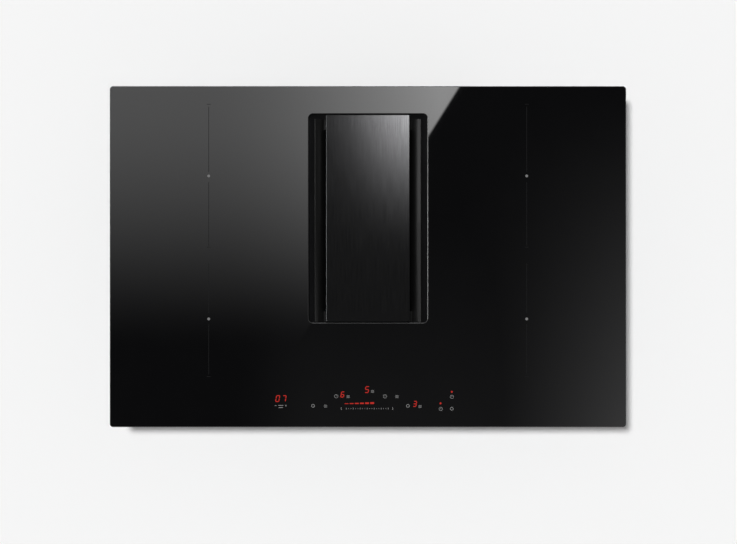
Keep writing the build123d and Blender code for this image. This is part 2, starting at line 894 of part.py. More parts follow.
def inlet_well():
    place = Pos(0, opening_centre_y, well_top)
    outer_width = well_width + 2 * well_wall
    outer_depth = well_depth_y + 2 * well_wall
    outer_outline = RectangleRounded(outer_width, outer_depth, well_corner + well_wall)
    inner_outline = RectangleRounded(well_width, well_depth_y, well_corner)
    body = extrude(place * outer_outline, -well_depth, taper=well_draft)
    cavity = extrude(place * inner_outline, -(well_depth - well_floor), taper=well_draft)
    flange = slab(well_flange_x, well_flange_y, well_top - well_flange_thickness, well_top, well_corner,
                  0, opening_centre_y)
    well = body + flange

    # gussets under the flange
    gusset_drop = well_rib_drop
    side_x = well_width / 2
    edge_x = well_flange_x / 2 - well_wall
    gusset = Polyline((side_x, -gusset_drop), (side_x, 0), (edge_x, 0), close=True)
    gusset = extrude(Plane.XZ * make_face(gusset), well_rib_thickness / 2, both=True)
    pitch = well_depth_y / well_ribs_per_side
    for index in range(well_ribs_per_side):
        y = opening_centre_y + (index - (well_ribs_per_side - 1) / 2) * pitch
        rib = Pos(0, y, well_top - well_flange_thickness) * gusset
        well = well + rib + mirrored(rib)
    well = well - cavity

    # ledge that the filter basket hangs on
    ledge = slab(well_width, well_depth_y, ledge_z - ledge_thickness, ledge_z, well_corner,
                 0, opening_centre_y)
    gap_front = basket_wall_front - ledge_clearance
    gap_rear = basket_wall_rear + ledge_clearance
    gap_width = 2 * (lip_half - ledge_grip)
    gap_centre = (gap_front + gap_rear) / 2
    ledge = ledge - slab(gap_width, gap_rear - gap_front, ledge_z - ledge_thickness, ledge_z,
                         opening_corner, 0, gap_centre)
    well = well + ledge

    # raised collar round the blower's inlet, so that spilt water stays in the well
    collar = rod(collar_radius + collar_wall, well_bottom, collar_top, 0, scroll_centre_y)
    well = well + collar - rod(collar_radius, well_bottom, collar_top, 0, scroll_centre_y)

    # posts for the drip tray
    half = tray_post_width / 2
    for x, y in tray_post_places():
        well = well + block(x - half, x + half, y - half, y + half, well_bottom, drip_tray_bottom)

    well = well - rod(drain_radius, well_bottom, well_floor_z, 0, drain_y)
    for x, y in well_screw_places():
        well = well - rod(screw_hole_radius, well_top - well_flange_thickness, well_top, x, y)
    return well


def tray_post_places():
    """Posts in the well, under the corners of the drip tray."""
    x = drip_tray_width / 2 - tray_post_inset
    front = drip_tray_front + tray_post_inset
    rear = drip_tray_rear - tray_post_inset
    return [(-x, front), (x, front), (-x, rear), (x, rear)]


def drain_plug():
    body = rod(drain_radius - spigot_clearance, well_bottom, well_floor_z)
    flange = rod(drain_radius + drain_flange, well_bottom - drain_flange_thickness, well_bottom)
    grip_bottom = well_bottom - drain_flange_thickness - drain_grip_height
    half = drain_grip_width / 2
    grip = block(-drain_radius, drain_radius, -half, half, grip_bottom, well_bottom - drain_flange_thickness)
    grip = fillet(grip.edges().filter_by(Axis.Y).sort_by(Axis.Z)[:2], half)
    return Pos(0, drain_y) * (body + flange + grip)


# ---------------------------------------------------------------- filter basket, drip tray and cover

def lip_profile():
    """Right-hand lip, seen from the front: a quarter oval that bends down from the ledge into a rail."""
    oval = Ellipse(lip_width, lip_fall) - Ellipse(lip_width - basket_wall, lip_fall - basket_wall)
    quarter = Pos(-lip_width / 2, lip_fall / 2) * Rectangle(lip_width, lip_fall)
    arch = Pos(lip_half, lip_centre_z) * (oval & quarter)
    skirt = Pos(lip_half - basket_wall / 2, ledge_z + lip_rise / 2) * Rectangle(basket_wall, lip_rise)
    rail_height = lip_centre_z - rail_bottom + basket_wall
    rail_x = basket_inner_x + basket_wall / 2
    rail = Pos(rail_x, lip_centre_z - rail_height / 2) * Rectangle(basket_wall, rail_height)
    return round_outer_edge(arch + skirt + rail)


def lip_end_profile():
    """The closed end of the right-hand lip, above the ledge."""
    oval = Pos(lip_half, lip_centre_z) * Ellipse(lip_width, lip_fall)
    above = Pos(lip_half - lip_width / 2, ledge_z + lip_rise / 2) * Rectangle(lip_width, lip_rise)
    return round_outer_edge(oval & above)


def round_outer_edge(profile):
    """Round the lip's upper outer corner, where a cloth wipes along it."""
    corner = profile.vertices().group_by(Axis.Y)[-1].sort_by(Axis.X)[-1]
    return fillet(corner, lip_edge_radius)


def basket_section():
    """Outline of the basket's end walls, from rim to gutter."""
    outer_x = basket_inner_x + basket_wall
    points = [(outer_x, rim_top), (outer_x, rail_bottom - basket_wall), (gutter_half, basket_bottom)]
    left = [(-x, z) for x, z in reversed(points)]
    return make_face(Polyline(*points, *left, close=True))


def filter_frame():
    lip = along_y(lip_profile(), basket_front, basket_rear)
    # below the ledge the lips stop short of the ends, where the ledge runs across
    for y_from, y_to in ((basket_front, basket_wall_front), (basket_wall_rear, basket_rear)):
        lip = lip - block(0, lip_half, y_from, y_to, rail_bottom - basket_wall, ledge_z)
    # closed lip ends above the ledge
    lip = lip + along_y(lip_end_profile(), basket_front, basket_front + basket_wall)
    lip = lip + along_y(lip_end_profile(), basket_rear - basket_wall, basket_rear)
    basket = lip + mirrored(lip)

    # flat rims across both ends and the walls below them
    rim_depth = basket_rim + basket_wall
    for y_from in (basket_front, basket_rear - rim_depth):
        basket = basket + block(-lip_half, lip_half, y_from, y_from + rim_depth, ledge_z, rim_top)
    section = basket_section()
    basket = basket + along_y(section, basket_wall_front, basket_wall_front + basket_wall)
    basket = basket + along_y(section, basket_wall_rear - basket_wall, basket_wall_rear)

    # gutter along the bottom, with holes that drip into the tray
    gutter = block(-gutter_half, gutter_half, basket_wall_front, basket_wall_rear,
                   basket_bottom, basket_bottom + basket_wall)
    hole_pitch = (basket_wall_rear - basket_wall_front) / basket_rib_count
    for index in range(basket_rib_count):
        y = basket_wall_front + (index + 0.5) * hole_pitch
        gutter = gutter - slab(gutter_half, gutter_hole_length, basket_bottom, basket_bottom + basket_wall,
                               basket_wall, 0, y)
    basket = basket + gutter

    # sloping ribs under the filter panels
    low_x = gutter_half - basket_wall
    slope = Polyline((basket_inner_x + basket_wall, rail_bottom), (gutter_half, basket_bottom),
                     (low_x, basket_bottom), (low_x, basket_bottom + basket_wall),
                     (basket_inner_x, rail_bottom + basket_wall), close=True)
    slope = make_face(slope)
    for index in range(1, basket_rib_count):
        y = basket_wall_front + index * hole_pitch
        rib = along_y(slope, y - basket_rib_width / 2, y + basket_rib_width / 2)
        basket = basket + rib + mirrored(rib)
    return basket


def filter_mesh_right():
    """One sloping grease filter panel: a bordered plate with long slots across the slope."""
    front = basket_wall_front + basket_wall + filter_clearance
    rear = basket_wall_rear - basket_wall - filter_clearance
    length = rear - front
    panel_width = math.hypot(slope_rise, slope_run) - 4 * basket_wall
    panel = Box(panel_width, length, filter_thickness)
    pitch = (length - 2 * filter_border) / filter_slots
    for index in range(filter_slots):
        y = (index - (filter_slots - 1) / 2) * pitch
        panel = panel - Pos(0, y) * Box(panel_width - 2 * filter_border, filter_slot_width, filter_thickness)
    lift = basket_wall + filter_clearance + filter_thickness / 2
    middle = Pos((basket_inner_x + gutter_half) / 2, (front + rear) / 2, (rail_bottom + basket_bottom) / 2)
    return middle * Rot(Y=-slope_angle) * Pos(Z=lift) * panel


def drip_tray():
    centre_y = (drip_tray_front + drip_tray_rear) / 2
    length = drip_tray_rear - drip_tray_front
    outer = slab(drip_tray_width, length, drip_tray_bottom, drip_tray_top, drip_tray_corner, 0, centre_y)
    inner_width = drip_tray_width - 2 * drip_tray_wall
    inner_length = length - 2 * drip_tray_wall
    inner = slab(inner_width, inner_length, drip_tray_bottom + drip_tray_wall, drip_tray_top,
                 drip_tray_corner - drip_tray_wall, 0, centre_y)
    return outer - inner


def cover_plate():
    plate = slab(cover_width, cover_depth, cover_underside, glass_top_z, cover_corner, 0, opening_centre_y)
    top_edges = plate.edges().filter_by_position(Axis.Z, glass_top_z, glass_top_z)
    return chamfer(top_edges, cover_bevel)


def cover_carrier():
    """Moulded carrier bonded under the cover, ribbed below and standing on four feet."""
    width = cover_width - 2 * carrier_inset
    depth = cover_depth - 2 * carrier_inset
    carrier = slab(width, depth, carrier_underside, cover_underside, cover_corner, 0, opening_centre_y)
    rib_bottom = carrier_underside - carrier_rib_height
    half = carrier_rib_thickness / 2
    reach = (pad_rear_y - pad_front_y) / 2 - cover_pad_width
    for index in range(carrier_ribs):
        x = (index - (carrier_ribs - 1) / 2) * width / carrier_ribs
        carrier = carrier + block(x - half, x + half, opening_centre_y - reach, opening_centre_y + reach,
                                  rib_bottom, carrier_underside)
    half = cover_pad_width / 2 + cover_foot_margin
    for x, y in cover_pad_places():
        carrier = carrier + block(x - half, x + half, y - half, y + half, pad_top, carrier_underside)
    return carrier


def cover_pad_places():
    """Where the cover's feet stand on the basket's rims."""
    half = cover_pad_spread / 2
    return [(-half, pad_front_y), (half, pad_front_y), (-half, pad_rear_y), (half, pad_rear_y)]


def cover_pads():
    half = cover_pad_width / 2
    pad = block(-half, half, -half, half, rim_top, pad_top)
    return group([Pos(x, y) * pad for x, y in cover_pad_places()])


# ---------------------------------------------------------------- blower

def scroll_spiral(growth):
    """The scroll's round wall in plan, from the tongue to the right-hand side, set outwards by growth."""
    turn = 360.0 - tongue_angle
    points = []
    for index in range(spiral_steps + 1):
        angle = math.radians(tongue_angle + turn * index / spiral_steps)
        radius = tongue_radius + growth + scroll_growth * index / spiral_steps
        points.append((radius * math.cos(angle), radius * math.sin(angle)))
    start = math.radians(tongue_angle)
    ends = [(-math.sin(start), math.cos(start)), (0, 1)]
    return Spline(*points, tangents=ends, tangent_scalars=[1, 1])


def scroll_outline(growth):
    """The scroll's plan, its walls set outwards by growth: a spiral that opens into the diffuser."""
    spiral = scroll_spiral(growth)
    reach = scroll_reach + growth
    exit_y = scroll_exit_y - scroll_centre_y
    left = duct_centre_x - diffuser_half - growth
    right = duct_centre_x + diffuser_half + growth
    bend_y = scroll_reach / 2
    neck_y = exit_y - spigot_sleeve_length - scroll_wall
    walls = Polyline(spiral @ 1, (reach, bend_y), (right, neck_y), (right, exit_y), (left, exit_y),
                     (left, neck_y), spiral @ 0)
    return Pos(0, scroll_centre_y) * make_face(Curve() + [spiral, walls])


def scroll_boss_places():
    """Screw bosses round the scroll, grown into the outside of its wall."""
    wall = scroll_spiral(scroll_wall)
    places = []
    for index in range(scroll_boss_count):
        share = (index + scroll_boss_lead) / scroll_boss_count
        along = wall % share
        outward = Vector(along.Y, -along.X, 0)
        centre = (wall @ share) + outward * (scroll_boss_radius - scroll_boss_lap)
        places.append((centre.X, scroll_centre_y + centre.Y))
    return places


def scroll_half(z_from, z_to, boss_from, boss_to):
    """One half of the scroll's wall, with its screw bosses."""
    wall = extrude(Pos(0, 0, z_from) * scroll_outline(scroll_wall), z_to - z_from)
    for x, y in scroll_boss_places():
        wall = wall + rod(scroll_boss_radius, boss_from, boss_to, x, y)
    for x, y in scroll_boss_places():
        wall = wall - rod(screw_hole_radius, boss_from, boss_to, x, y)
    return wall


def hanger_ear(side):
    """Lug on the scroll that a hanger is fixed to."""
    low = scroll_split
    high = scroll_split + hanger_foot / 2
    half = hanger_ear_width / 2
    ear = block(0, hanger_x, scroll_centre_y - half, scroll_centre_y + half, low, high)
    return ear if side > 0 else mirrored(ear)


def blower_upper_scroll():
    shell = scroll_half(scroll_split, scroll_top, scroll_split, scroll_split + scroll_boss_height)
    shell = shell + hanger_ear(-1)
    shell = shell - extrude(Pos(0, 0, scroll_split) * scroll_outline(0), scroll_ceiling - scroll_split)
    shell = shell - rod(inlet_radius + inlet_wall, scroll_ceiling, scroll_top, 0, scroll_centre_y)

    # rolled bell mouth, from above the collar down into the impeller's eye
    throat_outer = inlet_radius + inlet_wall
    flare_z = collar_top - collar_gap
    mouth = Polyline((inlet_radius, inlet_bottom), (throat_outer, inlet_bottom), (throat_outer, scroll_top))
    bend = (throat_outer + bell_bulge, (scroll_top + flare_z) / 2 + collar_gap)
    outside = ThreePointArc(mouth @ 1, bend, (inlet_flare_radius, flare_z))
    lip_end = (inlet_flare_radius - inlet_wall, flare_z + inlet_wall / 2)
    lip_line = Line((inlet_flare_radius, flare_z), lip_end)
    inner_bend = (inlet_radius + bell_bulge, (scroll_top + flare_z) / 2 + collar_gap)
    inside = ThreePointArc(lip_line @ 1, inner_bend, (inlet_radius, scroll_top))
    close_line = Line((inlet_radius, scroll_top), (inlet_radius, inlet_bottom))
    profile = make_face(Plane.XZ * (Curve() + [mouth, outside, lip_line, inside, close_line]))
    bell = Pos(0, scroll_centre_y) * revolve(profile, Axis.Z)
    return shell + bell


def blower_lower_scroll():
    shell = scroll_half(scroll_bottom, scroll_split, scroll_split - scroll_boss_height, scroll_split)
    shell = shell - extrude(Pos(0, 0, scroll_floor) * scroll_outline(0), scroll_split - scroll_floor)
    return shell - rod(motor_hole_radius, scroll_bottom, scroll_floor, 0, scroll_centre_y)


def scroll_screws():
    """Screws up through the lower bosses into the upper ones."""
    screws = []
    for x, y in scroll_boss_places():
        under = Plane(origin=(x, y, scroll_split - scroll_boss_height), z_dir=(0, 0, -1))
        screws.append(screw(under, scroll_screw_length))
    return group(screws)


def blower_impeller():
    disc = rod(impeller_radius, impeller_bottom, impeller_bottom + impeller_disc)
    cup_top = rotor_top + hub_clearance + hub_wall
    cup = rod(hub_radius, impeller_bottom, cup_top)
    cup = chamfer(cup.edges().sort_by(Axis.Z)[-1], hub_wall)
    one_blade = blade(impeller_eye_radius, impeller_radius, blade_sweep, blade_sag, blade_angle_width,
                      impeller_bottom + impeller_disc, impeller_top)
    ring = tube(impeller_radius + impeller_disc, impeller_radius - impeller_disc,
                impeller_top - impeller_ring_height, impeller_top)
    wheel = disc + cup + blade_ring(blade_count, one_blade) + ring
    wheel = wheel - rod(rotor_radius + hub_clearance, impeller_bottom, rotor_top + hub_clearance)
    wheel = wheel - rod(shaft_radius, impeller_bottom, cup_top)
    return Pos(0, scroll_centre_y) * wheel


def motor_rotor():
    """Steel cup with its magnet ring, round the stator."""
    bottom = rotor_top - rotor_height
    inner = stator_radius + rotor_air_gap
    cup = rod(rotor_radius, bottom, rotor_top)
    cup = cup - rod(inner, bottom, rotor_top - rotor_wall) - rod(shaft_radius, bottom, rotor_top)
    cup = cup + tube(shaft_radius + rotor_wall, shaft_radius, rotor_top, rotor_top + hub_clearance)
    return Pos(0, scroll_centre_y) * cup


def motor_shaft():
    top = rotor_top + hub_clearance + hub_wall
    shaft = rod(shaft_radius, shaft_bottom, top)
    shaft = chamfer(shaft.edges().filter_by(GeomType.CIRCLE), shaft_chamfer)
    return Pos(0, scroll_centre_y) * shaft


def motor_stator():
    """Laminated stack on the bearing tube, slotted for the windings."""
    top = stator_bottom + stator_height
    stack = rod(stator_radius, stator_bottom, top)
    half = stator_slot_width / 2
    slot = block(stator_radius - stator_slot_depth, stator_radius, -half, half, stator_bottom, top)
    for index in range(stator_teeth):
        stack = stack - slot.rotate(Axis.Z, 360.0 * index / stator_teeth)
    stack = stack - rod(bearing_tube_radius, stator_bottom, top)
    return Pos(0, scroll_centre_y) * stack


def motor_bracket():
    """Seat plate of the motor, with the bearing tube pressed into its middle."""
    plate = rod(motor_seat_radius, tube_bottom, tube_bottom + bracket_thickness)
    plate = plate + rod(bearing_tube_radius, tube_bottom, tube_top)
    bore_from = tube_bottom + bracket_thickness
    plate = plate - rod(bearing_radius, bore_from, tube_top)
    plate = plate - rod(shaft_radius + shaft_clearance, tube_bottom, bore_from)
    for x, y in grommet_places():
        plate = plate - rod(grommet_radius - grommet_lap, tube_bottom, tube_bottom + bracket_thickness, x, y)
    return Pos(0, scroll_centre_y) * plate


def grommet_places():
    """Rubber mounts on a circle round the motor."""
    angles = [math.radians(360.0 * index / grommet_count) for index in range(grommet_count)]
    return [(grommet_circle * math.cos(angle), grommet_circle * math.sin(angle)) for angle in angles]


def motor_grommets():
    pads = []
    for x, y in grommet_places():
        pad = rod(grommet_radius, scroll_floor, tube_bottom, x, y)
        neck = rod(grommet_radius - grommet_lap, tube_bottom, tube_bottom + bracket_thickness, x, y)
        pads.append(Pos(0, scroll_centre_y) * (pad + neck))
    return group(pads)


def motor_bearings():
    rings = []
    lower = tube_bottom + bracket_thickness
    for z in (lower, tube_top - bearing_height):
        ring = tube(bearing_radius, shaft_radius + shaft_clearance, z, z + bearing_height)
        rings.append(Pos(0, scroll_centre_y) * ring)
    return group(rings)


def motor_cap():
    """Cap that closes the motor's hole from below, with a few air slots."""
    cap = rod(motor_hole_radius + cap_lap, scroll_bottom - cap_thickness, scroll_bottom)
    plug = tube(motor_hole_radius - spigot_clearance, motor_hole_radius - 2 * cap_thickness,
                scroll_bottom, scroll_floor)
    cap = chamfer(cap.edges().sort_by(Axis.Z)[0], cap_thickness / 2) + plug
    return Pos(0, scroll_centre_y) * cap


# ---------------------------------------------------------------- duct outlet

def exhaust_spigot():
    centre_z = (scroll_top + scroll_bottom) / 2
    sleeve_width = 2 * (diffuser_half - spigot_clearance)
    sleeve_height = duct_height - 2 * (scroll_wall + spigot_clearance)
    place = Pos(duct_centre_x, centre_z)
    socket = place * RectangleRounded(duct_width, duct_height, duct_corner)
    flange = place * RectangleRounded(duct_width + 2 * spigot_flange, duct_height, duct_corner)
    sleeve = place * RectangleRounded(sleeve_width, sleeve_height, spigot_wall)
    bore_width = sleeve_width - 2 * spigot_wall
    bore_height = sleeve_height - 2 * spigot_wall
    bore = place * RectangleRounded(bore_width, bore_height, duct_corner)
    tube_end = scroll_exit_y + spigot_length
    spigot = along_y(socket, scroll_exit_y, tube_end)
    spigot = spigot + along_y(flange, scroll_exit_y, scroll_exit_y + spigot_flange)
    spigot = spigot + along_y(sleeve, scroll_exit_y - spigot_sleeve_length, scroll_exit_y)
    spigot = spigot - along_y(bore, scroll_exit_y - spigot_sleeve_length, tube_end)
    return spigot


# ---------------------------------------------------------------- sheet metal between the trays

def blower_hangers():
    """Two bent straps that hang the blower from the tray floors."""
    half = hanger_width / 2
    low = scroll_split - hanger_foot / 2
    strap = block(hanger_x, hanger_x + hanger_sheet, scroll_centre_y - half, scroll_centre_y + half,
                  low, tray_bottom)
    foot = block(hanger_x, hanger_x + hanger_foot, scroll_centre_y - half, scroll_centre_y + half,
                 tray_bottom - hanger_sheet, tray_bottom)
    strap = strap + foot
    bend = strap.edges().filter_by(Axis.Y).sort_by_distance((hanger_x, scroll_centre_y, tray_bottom))[0]
    strap = fillet(bend, hanger_bend)
    return group([strap, mirrored(strap)])


def front_bridge():
    """Bent channel that joins the two trays in front of the well and carries the driver box."""
    top = control_bottom - bridge_gap
    floor = block(-tray_inner_x, tray_inner_x, -tray_half_depth, bridge_rear_y, tray_bottom, tray_floor_z)
    front = block(-tray_inner_x, tray_inner_x, -tray_half_depth, -tray_half_depth + tray_sheet,
                  tray_bottom, top)
    lip = block(-tray_inner_x, tray_inner_x, bridge_rear_y - tray_sheet, bridge_rear_y,
                tray_bottom, tray_floor_z + bridge_lip)
    return floor + front + lip


def driver_box():
    """Moulded box for the blower's driver board, on the bridge between the trays."""
    top = tray_floor_z + driver_box_height
    outer = slab(driver_box_width, driver_box_depth, tray_floor_z, top, 2 * driver_box_wall, 0, driver_box_y)
    inner_width = driver_box_width - 2 * driver_box_wall
    inner_depth = driver_box_depth - 2 * driver_box_wall
    floor = tray_floor_z + driver_box_wall
    box = outer - slab(inner_width, inner_depth, floor, top, driver_box_wall, 0, driver_box_y)
    half = board_stand_width / 2
    for x in (-driver_stand_spread / 2, driver_stand_spread / 2):
        box = box + block(x - half, x + half, driver_box_y - half, driver_box_y + half,
                          floor, floor + driver_board_stand)
    return box


def driver_board():
    width = driver_box_width - 2 * (driver_box_wall + driver_board_gap)
    depth = driver_box_depth - 2 * (driver_box_wall + driver_board_gap)
    bottom = tray_floor_z + driver_box_wall + driver_board_stand
    return slab(width, depth, bottom, bottom + board_thickness, driver_box_wall, 0, driver_box_y)


# ---------------------------------------------------------------- mains terminal

def terminal_housing():
    outer = slab(terminal_width, terminal_depth, terminal_bottom, tray_bottom, terminal_corner,
                 terminal_centre_x, terminal_centre_y)
    inner_width = terminal_width - 2 * terminal_wall
    inner_depth = terminal_depth - 2 * terminal_wall
    inner = slab(inner_width, inner_depth, terminal_bottom, tray_bottom - terminal_wall,
                 terminal_corner - terminal_wall, terminal_centre_x, terminal_centre_y)
    hole = Pos(terminal_centre_x, gland_z) * Circle(gland_thread_radius)
    return outer - inner - along_y(hole, terminal_rear - terminal_wall, terminal_rear)


def terminal_block():
    """Row of mains terminals, each with a screw well from below."""
    length = terminal_ways * terminal_pitch
    top = tray_bottom - terminal_wall
    bottom = top - terminal_block_height
    front = terminal_front + 2 * terminal_wall
    rear = front + terminal_block_depth
    left = terminal_centre_x - length / 2
    strip = block(left, left + length, front, rear, bottom, top)
    middle_y = (front + rear) / 2
    for index in range(terminal_ways):
        x = left + (index + 0.5) * terminal_pitch
        strip = strip - rod(terminal_screw_radius, bottom, bottom + terminal_block_height / 2, x, middle_y)
    for index in range(1, terminal_ways):
        x = left + index * terminal_pitch
        strip = strip - block(x - terminal_groove / 2, x + terminal_groove / 2, front, rear,
                              bottom, bottom + terminal_groove)
    return strip


def terminal_cover():
    lid = slab(terminal_width, terminal_depth, terminal_bottom - terminal_wall, terminal_bottom,
               terminal_corner, terminal_centre_x, terminal_centre_y)
    lid = chamfer(lid.edges().group_by(Axis.Z)[0], terminal_bevel)
    rim_width = terminal_width - 2 * terminal_wall - 2 * spigot_clearance
    rim_depth = terminal_depth - 2 * terminal_wall - 2 * spigot_clearance
    rim = slab(rim_width, rim_depth, terminal_bottom, terminal_bottom + terminal_wall,
               terminal_corner - terminal_wall, terminal_centre_x, terminal_centre_y)
    hollow = slab(rim_width - 2 * terminal_wall, rim_depth - 2 * terminal_wall, terminal_bottom,
                  terminal_bottom + terminal_wall, terminal_rim_corner, terminal_centre_x, terminal_centre_y)
    return lid + (rim - hollow)


def cable_gland():
    """Screwed gland in the terminal housing's rear wall, with its mouth to the back."""
    nut_end = terminal_rear + gland_nut_length
    nut = along_y(RegularPolygon(gland_nut_radius, 6), terminal_rear, nut_end)
    thread_end = terminal_rear - gland_thread_length
    thread = along_y(Circle(gland_thread_radius - gland_clearance), thread_end, terminal_rear)
    mouth_radius = gland_bore + terminal_wall
    dome_profile = Polyline((0, nut_end), (gland_dome_radius, nut_end),
                            (mouth_radius, gland_end), (0, gland_end), close=True)
    dome = revolve(make_face(dome_profile), Axis.Y)
    bore = along_y(Circle(gland_bore), thread_end, gland_end)
    return Pos(terminal_centre_x, 0, gland_z) * (nut + thread + dome - bore)


# ---------------------------------------------------------------- clips and side screws

def spring_clips():
    """Bent steel springs hooked into the side walls, which grip the edge of the worktop's cut-out."""
    outer_face = frame_width / 2 + clip_sheet / 2
    inner_face = tray_outer_x - tray_sheet - clip_sheet / 2
    path = Polyline((inner_face, side_screw_z - clip_hook), (inner_face, side_screw_z),
                    (outer_face, side_screw_z), (outer_face, side_screw_z - clip_drop),
                    (outer_face + clip_bulge, side_screw_z - clip_height / 2),
                    (outer_face + clip_sheet, side_screw_z - clip_height))
    strip = trace(path, clip_sheet)
    clips = []
    for y in (-clip_spread / 2, clip_spread / 2):
        clip = along_y(strip, y - clip_width / 2, y + clip_width / 2)
        clips.append(clip)
        clips.append(mirrored(clip))
    return group(clips)


def casing_screws():
    """Screws through the side walls, and from below through the well's flange into the frame."""
    screws = []
    for y in (-casing_screw_spread / 2, casing_screw_spread / 2):
        one = screw(Plane(origin=(frame_width / 2, y, side_screw_z), z_dir=(1, 0, 0)), screw_length)
        screws.append(one)
        screws.append(mirrored(one))
    seat = well_top - well_flange_thickness
    reach = glass_underside - screw_tip_gap - seat
    for x, y in well_screw_places():
        screws.append(screw(Plane(origin=(x, y, seat), z_dir=(0, 0, -1)), reach))
    return group(screws)


# ---------------------------------------------------------------- writing the pieces

pieces = {
    "glass_top": glass_top(),
    "perimeter_seal": perimeter_seal(),
    "inlet_gasket": inlet_gasket(),
    "glass_support_frame": glass_support_frame(),
    "right_tray": tray_right(),
    "left_tray": mirrored(tray_right()),
    "right_coil_plate": coil_plate_right(),
    "left_coil_plate": mirrored(coil_plate_right()),
    "rear_coils": coil_pair(rear_zone_y, rear_coil_radius),
    "front_coils": coil_pair(front_zone_y, front_coil_radius),
    "ferrite_bars": ferrite_bars(),
    "coil_insulation": coil_insulation(),
    "temperature_sensors": temperature_sensors(),
    "coil_posts": coil_posts(),
    "right_power_board": power_board_right(),
    "left_power_board": mirrored(power_board_right()),
    "right_heat_sink": heat_sink_right(),
    "left_heat_sink": mirrored(heat_sink_right()),
    "power_capacitors": power_capacitors(),
    "filter_chokes": filter_chokes(),
    "right_fan_housing": fan_housing_right(),
    "left_fan_housing": mirrored(fan_housing_right()),
    "right_fan_impeller": fan_impeller_right(),
    "left_fan_impeller": mirrored(fan_impeller_right()),
    "control_holder": control_holder(),
    "control_board": control_board(),
    "led_displays": led_displays(),
    "touch_springs": touch_springs(),
    "inlet_well": inlet_well(),
    "drain_plug": drain_plug(),
    "filter_frame": filter_frame(),
    "right_filter_panel": filter_mesh_right(),
    "left_filter_panel": mirrored(filter_mesh_right()),
    "drip_tray": drip_tray(),
    "cover_plate": cover_plate(),
    "cover_carrier": cover_carrier(),
    "cover_pads": cover_pads(),
    "blower_upper_scroll": blower_upper_scroll(),
    "blower_lower_scroll": blower_lower_scroll(),
    "scroll_screws": scroll_screws(),
    "blower_impeller": blower_impeller(),
    "motor_rotor": motor_rotor(),
    "motor_shaft": motor_shaft(),
    "motor_stator": motor_stator(),
    "motor_bracket": motor_bracket(),
    "motor_grommets": motor_grommets(),
    "motor_bearings": motor_bearings(),
    "motor_cap": motor_cap(),
    "exhaust_spigot": exhaust_spigot(),
    "blower_hangers": blower_hangers(),
    "front_bridge": front_bridge(),
    "driver_box": driver_box(),
    "driver_board": driver_board(),
    "terminal_housing": terminal_housing(),
    "terminal_block": terminal_block(),
    "terminal_cover": terminal_cover(),
    "cable_gland": cable_gland(),
    "spring_clips": spring_clips(),
    "casing_screws": casing_screws(),
}

os.makedirs("parts", exist_ok=True)
for name, piece in pieces.items():
    export_step(piece, "parts/" + name + ".step")
print(len(pieces), "pieces written")
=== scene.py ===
import math

import bpy
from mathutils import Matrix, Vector


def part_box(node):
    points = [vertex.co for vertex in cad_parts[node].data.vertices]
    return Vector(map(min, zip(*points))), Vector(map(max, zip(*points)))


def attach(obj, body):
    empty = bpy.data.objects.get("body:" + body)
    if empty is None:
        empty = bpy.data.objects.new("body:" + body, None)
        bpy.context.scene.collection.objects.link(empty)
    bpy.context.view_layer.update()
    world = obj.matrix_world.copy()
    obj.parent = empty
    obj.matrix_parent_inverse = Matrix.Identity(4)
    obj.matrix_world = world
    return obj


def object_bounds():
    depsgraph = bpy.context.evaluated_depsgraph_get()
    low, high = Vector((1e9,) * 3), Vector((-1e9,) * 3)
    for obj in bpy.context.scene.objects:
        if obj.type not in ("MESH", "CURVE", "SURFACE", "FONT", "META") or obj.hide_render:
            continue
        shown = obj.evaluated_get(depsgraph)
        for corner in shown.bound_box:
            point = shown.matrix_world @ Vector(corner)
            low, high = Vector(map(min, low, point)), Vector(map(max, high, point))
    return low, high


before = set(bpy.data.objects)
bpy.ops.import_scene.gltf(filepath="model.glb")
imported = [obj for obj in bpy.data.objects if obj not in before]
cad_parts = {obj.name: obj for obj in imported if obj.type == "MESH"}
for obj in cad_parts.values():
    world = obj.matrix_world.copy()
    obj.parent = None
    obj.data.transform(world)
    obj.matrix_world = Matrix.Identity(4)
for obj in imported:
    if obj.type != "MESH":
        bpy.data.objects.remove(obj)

# The studio: pale paper right under the cooktop, a camera with a long lens straight above it, a
# high lamp that throws the short shadow to the right and to the front, and a light card over the
# glass that shows in its gloss alone.
cad_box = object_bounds()
glass_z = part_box("glass_top")[1].z
floor_z = cad_box[0].z - 0.0003
eye_x, eye_y, eye_height = 0.0008, -0.0232, 6.185


def linear(hex_colour):
    """An sRGB hex colour as the linear colour that a node takes."""
    parts = [int(hex_colour[i:i + 2], 16) / 255 for i in (1, 3, 5)]
    return [p / 12.92 if p <= 0.04045 else ((p + 0.055) / 1.055) ** 2.4 for p in parts] + [1]


def add_node(tree, kind, settings=None, links=None):
    """Adds a node, sets its options and its sockets, and links what feeds it. Sockets go by name
    or number: a Mix node has 2 and 3 for numbers, 4 and 5 for vectors, 6 and 7 for colours, and a
    Map Range node runs from 1 to 2 and gives from 3 to 4."""
    node = tree.nodes.new(kind)
    for name, value in (settings or {}).items():
        if isinstance(name, int) or name in node.inputs:
            node.inputs[name].default_value = value
        else:
            setattr(node, name, value)
    for name, source in (links or {}).items():
        tree.links.new(source, node.inputs[name])
    return node


camera_data = bpy.data.cameras.new("camera_above")
camera_data.lens, camera_data.sensor_width = 200, 36
camera_data.clip_start, camera_data.clip_end = 0.1, 100
camera = bpy.data.objects.new("camera_above", camera_data)
camera.location = (eye_x, eye_y, glass_z + eye_height)
bpy.context.collection.objects.link(camera)
bpy.context.scene.camera = camera

